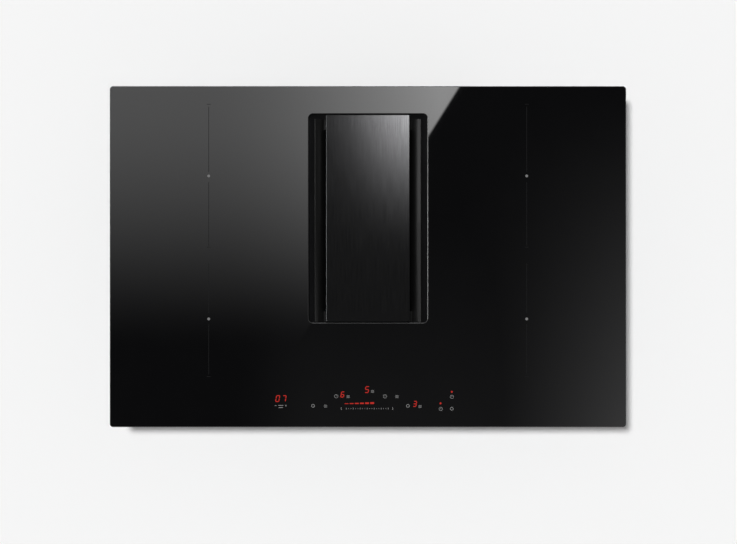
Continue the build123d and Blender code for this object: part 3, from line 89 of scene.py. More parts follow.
# Studio paper, matt and faintly mottled. A little glow lifts its tone for the camera, for mirrors
# and for clear plastic alone, and it is clear from below, for the views from there.
paper_glow = 0.08
bpy.ops.mesh.primitive_plane_add(size=60, location=(0, 0, floor_z))
floor = bpy.context.object
floor.name = "studio_floor"
paper = bpy.data.materials.new("studio_paper_matt")
paper.use_nodes = True
tree = paper.node_tree
tree.nodes.clear()
ray = add_node(tree, "ShaderNodeLightPath")
seen = add_node(tree, "ShaderNodeMath", {"operation": "MAXIMUM"},
                {0: ray.outputs["Is Camera Ray"], 1: ray.outputs["Is Glossy Ray"]})
seen = add_node(tree, "ShaderNodeMath", {"operation": "MAXIMUM"},
                {0: seen.outputs[0], 1: ray.outputs["Is Transmission Ray"]})
lift = add_node(tree, "ShaderNodeMath", {"operation": "MULTIPLY", 1: paper_glow}, {0: seen.outputs[0]})
mottle = add_node(tree, "ShaderNodeTexNoise", {"Scale": 0.7},
                  {"Vector": add_node(tree, "ShaderNodeTexCoord").outputs["Object"]})
tint = add_node(tree, "ShaderNodeMix", {"data_type": "RGBA", 6: linear("#e6e6e6"), 7: linear("#e8e8e8")},
                {0: mottle.outputs["Fac"]})
sheet = add_node(tree, "ShaderNodeBsdfPrincipled",
                 {"Roughness": 1.0, "Specular IOR Level": 0.0, "Emission Color": linear("#ffffff")},
                 {"Base Color": tint.outputs[2], "Emission Strength": lift.outputs[0]})
clear = add_node(tree, "ShaderNodeBsdfTransparent")
below = add_node(tree, "ShaderNodeNewGeometry")
both = add_node(tree, "ShaderNodeMixShader", {},
                {0: below.outputs["Backfacing"], 1: sheet.outputs[0], 2: clear.outputs[0]})
add_node(tree, "ShaderNodeOutputMaterial", {}, {"Surface": both.outputs[0]})
floor.data.materials.append(paper)

# The lamp stands almost overhead, so the shadow is a narrow band along two sides. It gives no
# highlight of its own: the card, the soft boxes and the spots are what gloss and metal mirror.
lamp_data = bpy.data.lights.new("high_lamp", "SUN")
lamp_data.energy, lamp_data.angle = 2.66, math.radians(3.6)
lamp = bpy.data.objects.new("high_lamp", lamp_data)
lamp.rotation_euler = (math.radians(-4.1), math.radians(-5.2), 0)
lamp.visible_glossy = False
bpy.context.collection.objects.link(lamp)

# Air of the studio: even light for surfaces, and for mirrors a surround that is paler at the
# horizon than overhead, and paler to the rear left than to the front right.
even_light, backdrop_light = 0.27, 0.896
horizon_light, overhead_light = 0.95, 0.3
front_right_share, rear_left_share = 0.35, 1.15
air = bpy.data.worlds.new("studio_air")
bpy.context.scene.world = air
air.use_nodes = True
tree = air.node_tree
tree.nodes.clear()
ray = add_node(tree, "ShaderNodeLightPath")
mirrored = add_node(tree, "ShaderNodeMath", {"operation": "MAXIMUM"},
                    {0: ray.outputs["Is Glossy Ray"], 1: ray.outputs["Is Transmission Ray"]})
aim = add_node(tree, "ShaderNodeSeparateXYZ", {},
               {0: add_node(tree, "ShaderNodeTexCoord").outputs["Generated"]})
height = add_node(tree, "ShaderNodeMapRange",
                  {"interpolation_type": "SMOOTHSTEP", 1: 0.45, 2: 0.95, 3: horizon_light, 4: overhead_light},
                  {0: aim.outputs["Z"]})
across = add_node(tree, "ShaderNodeMath", {"operation": "SUBTRACT"},
                  {0: aim.outputs["Y"], 1: aim.outputs["X"]})
side = add_node(tree, "ShaderNodeMapRange", {1: -1.4, 2: 1.4, 3: front_right_share, 4: rear_left_share},
                {0: across.outputs[0]})
surround = add_node(tree, "ShaderNodeMath", {"operation": "MULTIPLY"},
                    {0: height.outputs[0], 1: side.outputs[0]})
lit_air = add_node(tree, "ShaderNodeMix", {2: even_light}, {0: mirrored.outputs[0], 3: surround.outputs[0]})
shown = add_node(tree, "ShaderNodeMix", {3: backdrop_light},
                 {0: ray.outputs["Is Camera Ray"], 2: lit_air.outputs[0]})
background = add_node(tree, "ShaderNodeBackground", {}, {"Strength": shown.outputs[0]})
add_node(tree, "ShaderNodeOutputWorld", {}, {"Surface": background.outputs[0]})

# The light card: a lit panel with a slanting edge. Its light is worked out from places on the
# glass, in millimetres, so that edge and falloff lie where the glass shows them.
card_height = 0.6
spread = 1 + card_height / eye_height
to_glass = 1000 / spread
bpy.ops.mesh.primitive_plane_add(size=1, location=(0, 0, glass_z + card_height))
card = bpy.context.object
card.name = "light_card"
card.scale = (0.98, 0.74, 1)
bpy.ops.object.transform_apply(location=True, rotation=True, scale=True)
for way in ("camera", "diffuse", "transmission", "volume_scatter", "shadow"):
    setattr(card, "visible_" + way, False)
lit = bpy.data.materials.new("light_card_diffuser")
lit.use_nodes = True
tree = lit.node_tree
tree.nodes.clear()
mapping = add_node(tree, "ShaderNodeMapping",
                   {"Scale": (to_glass, to_glass, 1),
                    "Location": (eye_x * (1000 - to_glass), eye_y * (1000 - to_glass), 0)},
                   {"Vector": add_node(tree, "ShaderNodeTexCoord").outputs["Object"]})
spot = add_node(tree, "ShaderNodeSeparateXYZ", {}, {0: mapping.outputs[0]})

# Left of the edge the light falls off to the front and swells towards the edge. Past it a faint
# light grows to the right and to the front, and a fainter one grows to the front alone.
soft_ramp = {"interpolation_type": "SMOOTHSTEP"}
steps = {"x": spot.outputs["X"], "y": spot.outputs["Y"]}
for step, kind, settings, sources in (
        ("edge_x", "ShaderNodeMath", {"operation": "MULTIPLY_ADD", 1: 0.6272, 2: -22.7}, ["y"]),
        ("past_edge", "ShaderNodeMath", {"operation": "SUBTRACT"}, ["x", "edge_x"]),
        ("before_edge", "ShaderNodeMapRange", {**soft_ramp, 1: -3, 2: 2, 3: 1, 4: 0}, ["past_edge"]),
        ("fall", "ShaderNodeMapRange", {**soft_ramp, 1: 267, 2: -141, 3: 1.84, 4: 0}, ["y"]),
        ("nearer", "ShaderNodeMapRange", {1: -269, 2: 109, 3: 0, 4: 1}, ["x"]),
        ("nearer_squared", "ShaderNodeMath", {"operation": "POWER", 1: 2}, ["nearer"]),
        ("swell", "ShaderNodeMath", {"operation": "MULTIPLY_ADD", 1: 2.4, 2: 1}, ["nearer_squared"]),
        ("swollen_fall", "ShaderNodeMath", {"operation": "MULTIPLY"}, ["fall", "swell"]),
        ("left_light", "ShaderNodeMath", {"operation": "MULTIPLY"}, ["swollen_fall", "before_edge"]),
        ("rightward", "ShaderNodeMapRange", {1: 109, 2: 396, 3: 0, 4: 1}, ["x"]),
        ("right_rise", "ShaderNodeMath", {"operation": "POWER", 1: 2}, ["rightward"]),
        ("frontward", "ShaderNodeMapRange", {1: 262, 2: -262, 3: 0, 4: 0.91}, ["y"]),
        ("front_rise", "ShaderNodeMath", {"operation": "POWER", 1: 1.5}, ["frontward"]),
        ("right_light", "ShaderNodeMath", {"operation": "MULTIPLY"}, ["right_rise", "front_rise"]),
        ("middle_start", "ShaderNodeMapRange", {**soft_ramp, 1: -208, 2: -73, 3: 0, 4: 1}, ["x"]),
        ("middle_rise", "ShaderNodeMapRange", {1: 60, 2: -240, 3: 0, 4: 0.09}, ["y"]),
        ("front_light", "ShaderNodeMath", {"operation": "MULTIPLY"}, ["middle_start", "middle_rise"]),
        ("far_light", "ShaderNodeMath", {"operation": "MAXIMUM"}, ["right_light", "front_light"]),
        ("all_light", "ShaderNodeMath", {"operation": "ADD"}, ["left_light", "far_light"]),
        ("glass_light", "ShaderNodeMath", {"operation": "ADD", 1: 0.04}, ["all_light"])):
    feeds = {socket: steps[source] for socket, source in enumerate(sources)}
    steps[step] = add_node(tree, kind, settings, feeds).outputs[0]
glow = add_node(tree, "ShaderNodeEmission", {}, {"Strength": steps["glass_light"]})
add_node(tree, "ShaderNodeOutputMaterial", {}, {"Surface": glow.outputs[0]})
card.data.materials.append(lit)


def shine_on(source, *names):
    """Keeps the light of one studio source to a few pieces, as a studio does with flags."""
    kept = bpy.data.collections.new("lit_by_" + source.name)
    for name in names:
        kept.objects.link(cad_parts.get(name) or bpy.data.objects[name])
    source.light_linking.receiver_collection = kept


def hang_lamp(name, piece, place, size, watts, fade_x=0, fade_y=0):
    """A soft box that looks straight down on one piece. Its cloth is graded: the fades are the
    powers by which its light grows to the right and to the back, and 0 is an even cloth."""
    data = bpy.data.lights.new(name, "AREA")
    data.shape, data.size, data.size_y, data.energy = "RECTANGLE", *size, watts
    data.use_nodes = True
    cloth = data.node_tree
    cloth.nodes.clear()
    place_on_cloth = add_node(cloth, "ShaderNodeSeparateXYZ", {}, {
        0: add_node(cloth, "ShaderNodeNewGeometry").outputs["Parametric"]})
    grown_x = add_node(cloth, "ShaderNodeMath", {"operation": "POWER", 1: fade_x},
                       {0: place_on_cloth.outputs["X"]})
    grown_y = add_node(cloth, "ShaderNodeMath", {"operation": "POWER", 1: fade_y},
                       {0: place_on_cloth.outputs["Y"]})
    grown = add_node(cloth, "ShaderNodeMath", {"operation": "MULTIPLY"},
                     {0: grown_x.outputs[0], 1: grown_y.outputs[0]})
    light = add_node(cloth, "ShaderNodeEmission", {}, {"Strength": grown.outputs[0]})
    add_node(cloth, "ShaderNodeOutputLight", {}, {"Surface": light.outputs[0]})
    soft_box = bpy.data.objects.new(name, data)
    soft_box.location = place
    soft_box.visible_camera = False
    bpy.context.collection.objects.link(soft_box)
    shine_on(soft_box, piece)


def aim_spot(name, pieces, stand, target, watts, radius):
    """A spot with a soft edge that stands off to one side and looks at the named pieces."""
    data = bpy.data.lights.new(name, "SPOT")
    data.energy, data.shadow_soft_size = watts, radius
    data.spot_size, data.spot_blend = math.radians(16), 1.0
    lantern = bpy.data.objects.new(name, data)
    lantern.location = stand
    lantern.rotation_euler = (Vector(target) - Vector(stand)).to_track_quat("-Z", "Y").to_euler()
    bpy.context.collection.objects.link(lantern)
    shine_on(lantern, *pieces)


# The brushed cover mirrors a box that is bright at its far right corner, and an even, dim one.
# The rounded lips of the basket mirror two small boxes and a distant spot at their left, which
# is aimed at their far ends.
shine_on(card, "glass_top")
hang_lamp("cover_graded_lamp", "cover_plate", place=(0.062, 0.145, 0.6), size=(0.156, 0.31),
          watts=3.45, fade_x=1.0, fade_y=3.0)
hang_lamp("cover_fill_lamp", "cover_plate", place=(0.0, 0.0, 0.55), size=(0.9, 0.7), watts=0.17)
hang_lamp("left_lip_lamp", "filter_frame", place=(0.27, 0.07, 0.6), size=(0.3, 0.26),
          watts=0.2, fade_y=4.0)
hang_lamp("front_lip_lamp", "filter_frame", place=(0.0, -0.17, 0.6), size=(0.06, 0.2), watts=0.12)
aim_spot("lip_spot", ["filter_frame"], stand=(-0.6, 0.25, 2.4), target=(0.0, 0.16, 0.0),
         watts=31, radius=0.22)


# The casing. Support frame, trays, brackets and front bridge are bent from galvanised steel sheet,
# which shows the frozen crystals of the zinc, and are screwed and clipped together.
def new_finish(name, colour, roughness, metallic=0.0, **sockets):
    """A material with its shader set, and object coordinates in millimetres to draw patterns on."""
    material = bpy.data.materials.new(name)
    material.use_nodes = True
    nodes = material.node_tree
    nodes.nodes.clear()
    shader = add_node(nodes, "ShaderNodeBsdfPrincipled", {
        "Base Color": linear(colour), "Roughness": roughness, "Metallic": metallic,
        **{socket.replace("_", " "): value for socket, value in sockets.items()}})
    add_node(nodes, "ShaderNodeOutputMaterial", {}, {"Surface": shader.outputs[0]})
    place = add_node(nodes, "ShaderNodeTexCoord").outputs["Object"]
    in_mm = add_node(nodes, "ShaderNodeVectorMath", {"operation": "SCALE", "Scale": 1000}, {0: place})
    return material, nodes, shader, in_mm.outputs[0]


def vary(nodes, shader, amount, dark, light, smooth, rough):
    """Lets one pattern change a finish's colour and its roughness together."""
    shade = add_node(nodes, "ShaderNodeMix", {"data_type": "RGBA", 6: linear(dark), 7: linear(light)},
                     {0: amount})
    gloss = add_node(nodes, "ShaderNodeMapRange", {3: smooth, 4: rough}, {0: amount})
    nodes.links.new(shade.outputs[2], shader.inputs["Base Color"])
    nodes.links.new(gloss.outputs[0], shader.inputs["Roughness"])
    return shade.outputs[2]


def emboss(nodes, shader, heights):
    """Relief of a surface, from pairs of a pattern and its depth in millimetres."""
    last = None
    for pattern, depth in heights:
        bump = add_node(nodes, "ShaderNodeBump", {"Strength": 1.0, "Distance": depth / 1000},
                        {"Height": pattern})
        if last:
            nodes.links.new(last, bump.inputs["Normal"])
        last = bump.outputs[0]
    nodes.links.new(last, shader.inputs["Normal"])


def dress(material, *names):
    """Gives CAD nodes their finish."""
    for name in names:
        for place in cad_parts[name].material_slots:
            place.material = material


# Hot-dip galvanised sheet: crystals about 9 mm across, some bright and some dull, with a fine
# feathering in them.
crystal_mm = 9
zinc_sheet, nodes, shader, mm = new_finish("steel_sheet_hot_dip_galvanised", "#a9adb0", 0.42, 1.0)
warp = add_node(nodes, "ShaderNodeTexNoise", {"Scale": 0.08, "Detail": 3.0}, {"Vector": mm})
bent = add_node(nodes, "ShaderNodeMix", {"data_type": "VECTOR", 0: 0.05}, {4: mm, 5: warp.outputs["Color"]})
crystal = add_node(nodes, "ShaderNodeTexVoronoi", {"Scale": 1 / crystal_mm}, {"Vector": bent.outputs[1]})
flake = add_node(nodes, "ShaderNodeSeparateColor", {}, {0: crystal.outputs["Color"]})
feather = add_node(nodes, "ShaderNodeTexNoise", {"Scale": 0.9, "Detail": 4.0}, {"Vector": mm})
mixed = add_node(nodes, "ShaderNodeMix", {0: 0.35}, {2: flake.outputs[0], 3: feather.outputs["Fac"]})
vary(nodes, shader, mixed.outputs[0], "#8f9498", "#b9bdc0", 0.34, 0.5)
emboss(nodes, shader, [(crystal.outputs["Distance"], 0.02), (feather.outputs["Fac"], 0.02)])
dress(zinc_sheet, "glass_support_frame", "left_tray", "right_tray", "blower_hangers", "front_bridge")


# Coil plates and heat sinks. The plates are mill-finish aluminium sheet with rolling lines, the
# heat sinks are extruded, with die lines along their fins. Both are screwed into the trays.
# Real lines lie under 0.1 mm apart and are drawn coarser here and below, so that they show.
def drawn_metal(name, dark, light, roughness, line_mm, along, depth):
    """Metal with fine lines about line_mm apart that run sixty times as long along one axis."""
    material, nodes, shader, mm = new_finish(name, light, roughness, 1.0)
    stretch = [1 / line_mm] * 3
    stretch[along] /= 60
    lines = add_node(nodes, "ShaderNodeMapping", {"Scale": stretch}, {"Vector": mm})
    drawn = add_node(nodes, "ShaderNodeTexNoise", {"Scale": 1.0, "Detail": 4.0}, {"Vector": lines.outputs[0]})
    cloud = add_node(nodes, "ShaderNodeTexNoise", {"Scale": 0.03, "Detail": 2.0}, {"Vector": mm})
    amount = add_node(nodes, "ShaderNodeMix", {0: 0.4}, {2: drawn.outputs["Fac"], 3: cloud.outputs["Fac"]})
    vary(nodes, shader, amount.outputs[0], dark, light, roughness - 0.08, roughness + 0.08)
    emboss(nodes, shader, [(drawn.outputs["Fac"], depth)])
    return material


dress(drawn_metal("aluminium_sheet_mill_finish", "#a6a9ab", "#c9cbcc", 0.36, 0.8, 0, 0.01),
      "left_coil_plate", "right_coil_plate")
dress(drawn_metal("aluminium_extruded", "#a2a5a7", "#c2c5c6", 0.4, 0.6, 1, 0.015),
      "left_heat_sink", "right_heat_sink")


# The induction coils. Copper litz wire, wound flat in turns 3.6 mm apart and held by its own
# enamel, so each turn shows as a ridge with its strands twisted round it.
turn_mm, coil_aside, twists_round = 3.6, 240.0, 150.0


def litz_coil(name, zone_y):
    """Coil finish for the pair of zones whose middles lie at zone_y, one left and one right."""
    material, nodes, shader, mm = new_finish(name, "#8a4a26", 0.35, 0.9)
    split = add_node(nodes, "ShaderNodeSeparateXYZ", {}, {0: mm})
    aside = add_node(nodes, "ShaderNodeMath", {"operation": "ABSOLUTE"}, {0: split.outputs["X"]})
    from_x = add_node(nodes, "ShaderNodeMath", {"operation": "SUBTRACT", 1: coil_aside},
                      {0: aside.outputs[0]})
    from_y = add_node(nodes, "ShaderNodeMath", {"operation": "SUBTRACT", 1: zone_y},
                      {0: split.outputs["Y"]})
    flat = add_node(nodes, "ShaderNodeCombineXYZ", {}, {0: from_x.outputs[0], 1: from_y.outputs[0]})
    reach = add_node(nodes, "ShaderNodeVectorMath", {"operation": "LENGTH"}, {0: flat.outputs[0]})
    angle = add_node(nodes, "ShaderNodeMath", {"operation": "ARCTAN2"},
                     {0: from_y.outputs[0], 1: from_x.outputs[0]})
    turns = add_node(nodes, "ShaderNodeMath", {"operation": "MULTIPLY", 1: 2 * math.pi / turn_mm},
                     {0: reach.outputs["Value"]})
    ridge_and_groove_shade = add_node(nodes, "ShaderNodeMath", {"operation": "COSINE"}, {0: turns.outputs[0]})
    twist = add_node(nodes, "ShaderNodeMath", {"operation": "MULTIPLY_ADD", 1: twists_round},
                     {0: angle.outputs[0], 2: turns.outputs[0]})
    strand = add_node(nodes, "ShaderNodeMath", {"operation": "SINE"}, {0: twist.outputs[0]})
    # Painted shade: the copper is painted darkest in the grooves between turns and brightest on their tops.
    amount = add_node(nodes, "ShaderNodeMapRange", {1: -1.0, 2: 1.0}, {0: ridge_and_groove_shade.outputs[0]})
    vary(nodes, shader, amount.outputs[0], "#3a1a0c", "#a35a2e", 0.3, 0.4)
    emboss(nodes, shader, [(ridge_and_groove_shade.outputs[0], 0.5), (strand.outputs[0], 0.1)])
    return material


dress(litz_coil("copper_litz_wound_rear", 122.0), "rear_coils")
dress(litz_coil("copper_litz_wound_front", -94.0), "front_coils")


# Ferrite bars, insulation discs and temperature sensors. Pressed and fired ferrite, split mica
# and white alumina, laid under and over the coils with dabs of silicone. Real grain is mostly
# under 0.1 mm across and is drawn coarser here and below, so that it shows.
def moulded(name, dark, light, roughness, grain_mm, depth, **sockets):
    """A moulded, pressed or fired material: soft cloudy tone and an even fine grain."""
    material, nodes, shader, mm = new_finish(name, light, roughness, **sockets)
    cloud = add_node(nodes, "ShaderNodeTexNoise", {"Scale": 0.03, "Detail": 3.0}, {"Vector": mm})
    grain = add_node(nodes, "ShaderNodeTexVoronoi", {"Scale": 1 / grain_mm}, {"Vector": mm})
    amount = add_node(nodes, "ShaderNodeMix", {0: 0.25},
                      {2: cloud.outputs["Fac"], 3: grain.outputs["Distance"]})
    vary(nodes, shader, amount.outputs[0], dark, light, roughness - 0.06, roughness + 0.06)
    emboss(nodes, shader, [(grain.outputs["Distance"], depth)])
    return material, nodes, shader, mm


dress(moulded("ferrite_pressed_fired", "#2a2a2c", "#3c3c3e", 0.7, 0.6, 0.05)[0], "ferrite_bars")
dress(moulded("alumina_fired_white", "#cfcbc0", "#e6e2d8", 0.45, 0.8, 0.01)[0], "temperature_sensors")

# Mica sheet: pale tan flakes a few millimetres across that lie flat and glint.
mica, nodes, shader, mm = new_finish("mica_sheet_pressed", "#c4b79c", 0.4)
flakes = add_node(nodes, "ShaderNodeTexVoronoi", {"Scale": 0.3, "feature": "SMOOTH_F1"}, {"Vector": mm})
leaf = add_node(nodes, "ShaderNodeSeparateColor", {}, {0: flakes.outputs["Color"]})
vary(nodes, shader, leaf.outputs[0], "#a99b7e", "#d5caae", 0.25, 0.55)
emboss(nodes, shader, [(flakes.outputs["Distance"], 0.03)])
dress(mica, "coil_insulation")


# Grey mouldings: coil posts, drain plug, mains terminal and its gland. Glass-filled polyamide,
# injection moulded with a fine spark-eroded grain that leaves them dull.
dress(moulded("polyamide_grey_moulded", "#5c5f62", "#6e7174", 0.5, 0.9, 0.03)[0],
      "coil_posts", "drain_plug", "terminal_housing", "terminal_block", "terminal_cover", "cable_gland")


# Circuit boards. Glass-fibre board under green solder mask, with copper tracks as raised lines
# round fields 6 mm across and tinned pads on a loose 5.08 mm grid, screwed to posts in the trays
# and in the control holder.
pad_grid_mm = 5.08
board, nodes, shader, mm = new_finish("glass_fibre_board_solder_masked", "#0d4a26", 0.35, Coat_Weight=0.3)
tracks = add_node(nodes, "ShaderNodeTexVoronoi", {"Scale": 0.16, "distance": "MANHATTAN"}, {"Vector": mm})
track = add_node(nodes, "ShaderNodeMath", {"operation": "PINGPONG", 1: 0.12}, {0: tracks.outputs["Distance"]})
line = add_node(nodes, "ShaderNodeMapRange", {1: 0.05, 2: 0.07}, {0: track.outputs[0]})
holes = add_node(nodes, "ShaderNodeTexVoronoi", {"Scale": 1 / pad_grid_mm, "Randomness": 0.35},
                 {"Vector": mm})
pad = add_node(nodes, "ShaderNodeMapRange", {1: 0.2, 2: 0.16}, {0: holes.outputs["Distance"]})
mask = vary(nodes, shader, line.outputs[0], "#0a3a1d", "#12602f", 0.3, 0.4)
tinned = add_node(nodes, "ShaderNodeMix", {"data_type": "RGBA", 7: linear("#c3c4c0")},
                  {0: pad.outputs[0], 6: mask})
nodes.links.new(tinned.outputs[2], shader.inputs["Base Color"])
nodes.links.new(pad.outputs[0], shader.inputs["Metallic"])
emboss(nodes, shader, [(line.outputs[0], 0.04), (pad.outputs[0], 0.1)])
dress(board, "left_power_board", "right_power_board", "control_board", "driver_board")


# Capacitors and chokes. Aluminium cans in shrunk dark sleeves with a satin gloss, and toroids
# wound with enamelled copper wire 0.6 mm thick, both soldered to the power boards.
dress(moulded("shrink_sleeve_dark_blue", "#15181f", "#232a38", 0.3, 3.0, 0.01)[0], "power_capacitors")
winding, nodes, shader, mm = new_finish("enamelled_wire_wound", "#8a5a1e", 0.3, 0.8)
wraps_and_groove_shade = add_node(nodes, "ShaderNodeTexWave", {"Scale": 0.5, "Distortion": 1.0, "Detail": 1.0}, {"Vector": mm})
# Painted shade: the wire is painted dark in the grooves between wraps and bright on their tops.
vary(nodes, shader, wraps_and_groove_shade.outputs["Fac"], "#3d2609", "#a8722a", 0.25, 0.4)
emboss(nodes, shader, [(wraps_and_groove_shade.outputs["Fac"], 0.3)])
dress(winding, "filter_chokes")


# Black mouldings: fans, control holder, well, drip tray, cover carrier, blower scroll, impeller,
# spigot and driver box. Glass-filled polypropylene with a fine eroded grain, clipped or screwed.
# It looks dull and faintly cloudy. The well is painted a deeper black than the rest, as shade for the slots
# that look down into it.
dress(moulded("polypropylene_black_painted_shade", "#0b0b0c", "#121213", 0.4, 0.9, 0.02)[0], "inlet_well")
black_plastic = moulded("polypropylene_black_moulded", "#292a2b", "#353638", 0.44, 0.9, 0.03)[0]
dress(black_plastic, "left_fan_housing", "right_fan_housing", "left_fan_impeller", "right_fan_impeller",
      "control_holder", "drip_tray", "cover_carrier", "blower_upper_scroll",
      "blower_lower_scroll", "blower_impeller", "motor_cap", "exhaust_spigot", "driver_box")


# Displays, touch springs and side clips. Light blocks cast in dark red tinted resin, and springs
# of bright rolled spring steel that press on the glass from the control board. The clips, of the
# same steel, hook into the casing's side walls and grip the worktop's cut-out.
dress(moulded("resin_cast_red_tinted", "#3a0606", "#5a0a0a", 0.25, 2.0, 0.01)[0], "led_displays")
dress(drawn_metal("spring_steel_rolled_bright", "#86898b", "#a5a8aa", 0.3, 0.5, 2, 0.01),
      "touch_springs", "spring_clips")


# Seals. Closed-cell foam tape round the glass, silicone gaskets at the inlet and pads under the
# cover, soft and dull, pressed in place.
dress(moulded("epdm_foam_closed_cell", "#161616", "#242424", 0.9, 0.7, 0.2)[0], "perimeter_seal")
dress(moulded("silicone_rubber_moulded", "#1c1c1d", "#28282a", 0.6, 1.2, 0.02)[0],
      "inlet_gasket", "cover_pads", "motor_grommets")


# The grease filter. A basket moulded in black ABS from a tool that is polished along the rounded
# lips, which mirror the room, and eroded on its corner posts, which stay dull. Two panels of
# layered expanded metal are slid into its slopes.
basket_middle_y, posts_from, posts_to, lips_from, lips_to = 55, 132, 139, 70, 73
gloss_abs, nodes, shader, mm = moulded("abs_black_high_gloss", "#050505", "#080808", 0.3, 30.0, 0.01)
split = add_node(nodes, "ShaderNodeSeparateXYZ", {}, {0: mm})
along = add_node(nodes, "ShaderNodeMath", {"operation": "SUBTRACT", 1: basket_middle_y},
                 {0: split.outputs["Y"]})
to_end = add_node(nodes, "ShaderNodeMath", {"operation": "ABSOLUTE"}, {0: along.outputs[0]})
to_side = add_node(nodes, "ShaderNodeMath", {"operation": "ABSOLUTE"}, {0: split.outputs["X"]})
# The posts stand at both ends between the lips, and their dull finish sets in over these spans.
near_end = add_node(nodes, "ShaderNodeMapRange", {1: posts_from, 2: posts_to}, {0: to_end.outputs[0]})
inside = add_node(nodes, "ShaderNodeMapRange", {1: lips_to, 2: lips_from}, {0: to_side.outputs[0]})
post = add_node(nodes, "ShaderNodeMath", {"operation": "MULTIPLY"},
                {0: near_end.outputs[0], 1: inside.outputs[0]})
polish = add_node(nodes, "ShaderNodeMapRange", {3: 0.3, 4: 0.55}, {0: post.outputs[0]})
nodes.links.new(polish.outputs[0], shader.inputs["Roughness"])
dress(gloss_abs, "filter_frame")

# Expanded mesh: diamonds of bright strands 5 mm apart that slant both ways, with painted shade in the
# openings between them.
mesh_mm, mesh_slant = 5, 1.6
mesh_metal, nodes, shader, mm = new_finish("expanded_mesh_layered", "#8e9092", 0.35, 1.0)
split = add_node(nodes, "ShaderNodeSeparateXYZ", {}, {0: mm})
warps = []
for sign in (1, -1):
    slant = add_node(nodes, "ShaderNodeMath", {"operation": "MULTIPLY_ADD", 1: sign * mesh_slant},
                     {0: split.outputs["Z"], 2: split.outputs["Y"]})
    turned = add_node(nodes, "ShaderNodeMath", {"operation": "MULTIPLY", 1: 2 * math.pi / mesh_mm},
                      {0: slant.outputs[0]})
    warps.append(add_node(nodes, "ShaderNodeMath", {"operation": "SINE"}, {0: turned.outputs[0]}).outputs[0])
strand = add_node(nodes, "ShaderNodeMath", {"operation": "MAXIMUM"}, {0: warps[0], 1: warps[1]})
wire = add_node(nodes, "ShaderNodeMapRange", {1: 0.3, 2: 0.75}, {0: strand.outputs[0]})
vary(nodes, shader, wire.outputs[0], "#1a1b1c", "#a4a6a8", 0.6, 0.32)
emboss(nodes, shader, [(wire.outputs[0], 0.6)])
dress(mesh_metal, "left_filter_panel", "right_filter_panel")


# The blower motor. Pressed rotor and bracket in zinc-plated steel, a ground shaft in ball
# bearings, and a stator of stacked electrical sheet 0.5 mm thick. Its edges are drawn 1 mm
# apart, so that the stack shows.
dress(drawn_metal("steel_pressed_zinc_plated", "#85888a", "#a3a6a8", 0.38, 1.0, 2, 0.01),
      "motor_rotor", "motor_bracket")
dress(drawn_metal("steel_ground", "#b4b6b8", "#cfd1d2", 0.18, 0.3, 2, 0.004), "motor_shaft", "motor_bearings")
stack, nodes, shader, mm = new_finish("electrical_steel_stacked", "#6f7375", 0.5, 1.0)
sheets = add_node(nodes, "ShaderNodeTexWave", {"bands_direction": "Z", "Scale": 1 / 3.2}, {"Vector": mm})
vary(nodes, shader, sheets.outputs["Fac"], "#45484b", "#85898c", 0.4, 0.6)
emboss(nodes, shader, [(sheets.outputs["Fac"], 0.1)])
dress(stack, "motor_stator")


# Screws. Steel, cold headed and zinc plated with a clear passivation that leaves a faint
# rainbow yellow.
dress(drawn_metal("steel_screw_zinc_plated", "#a8a68c", "#c8c8bc", 0.28, 0.5, 2, 0.005),
      "scroll_screws", "casing_screws")


# The glass top. Black glass-ceramic 4 mm thick, rolled, cut, with a ground and polished bevel
# all round and round the opening, bonded to the support frame. It mirrors like still water, with
# a long, very shallow wave from the rollers.
glass, nodes, shader, mm = new_finish("glass_ceramic_black_polished", "#060607", 0.02, IOR=1.5)
wave = add_node(nodes, "ShaderNodeTexNoise", {"Scale": 0.02, "Detail": 2.0}, {"Vector": mm})
vary(nodes, shader, wave.outputs["Fac"], "#050506", "#070708", 0.015, 0.03)
emboss(nodes, shader, [(wave.outputs["Fac"], 0.002)])
dress(glass, "glass_top")


# Edge of the opening: the bevel and a narrow strip beside it are ground and then polished, so
# they stay dark and show as a thin line only where they glint.
opening_middle_y, opening_half_x, opening_half_y, opening_corner = 58, 90, 158, 7
skin_mm = 0.02


def edge_skin(name, half_x, half_y, radius, start_z, steps):
    """A thin skin round an edge, from its outer outline inwards by steps of width and rise. All
    sizes are in millimetres but for start_z, the height of the outline, which is in metres."""
    bpy.ops.object.select_all(action="DESELECT")
    bpy.ops.mesh.primitive_plane_add(size=2, location=(0, opening_middle_y / 1000, start_z))
    edge = bpy.context.object
    edge.name = name
    edge.scale = (half_x / 1000, half_y / 1000, 1)
    bpy.ops.object.transform_apply(location=True, rotation=True, scale=True)
    bpy.ops.object.mode_set(mode="EDIT")
    bpy.ops.mesh.select_all(action="SELECT")
    bpy.ops.mesh.bevel(offset=radius / 1000, segments=8, affect="VERTICES")
    for width, rise in steps:
        bpy.ops.mesh.inset(thickness=width / 1000)
        bpy.ops.transform.translate(value=(0, 0, rise / 1000))
    bpy.ops.mesh.delete(type="FACE")
    bpy.ops.object.mode_set(mode="OBJECT")
    skin = edge.modifiers.new("skin", "SOLIDIFY")
    skin.thickness, skin.offset = skin_mm / 1000, 1
    bpy.ops.object.modifier_apply(modifier="skin")
    return edge


glass_bevel, polished_strip = 0.7, 0.1
ring_width = glass_bevel + polished_strip
ground_edge = edge_skin("opening_ground_edge", opening_half_x + ring_width, opening_half_y + ring_width,
                        opening_corner + ring_width, glass_z + skin_mm / 1000,
                        [(polished_strip, 0), (glass_bevel, -glass_bevel)])
ground_edge.data.materials.append(moulded("glass_ceramic_edge_polished", "#262627", "#2c2c2d", 0.3, 0.2,
                                          0.001, Specular_IOR_Level=1.0)[0])
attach(ground_edge, "casing")


# The print on the glass. Zone lines and marks in thin fired enamel, and plain symbols, ticks and
# bars in the control field. Each is a film laid on the glass, and it is duller than the glass.
film = 0.00003
marks = []


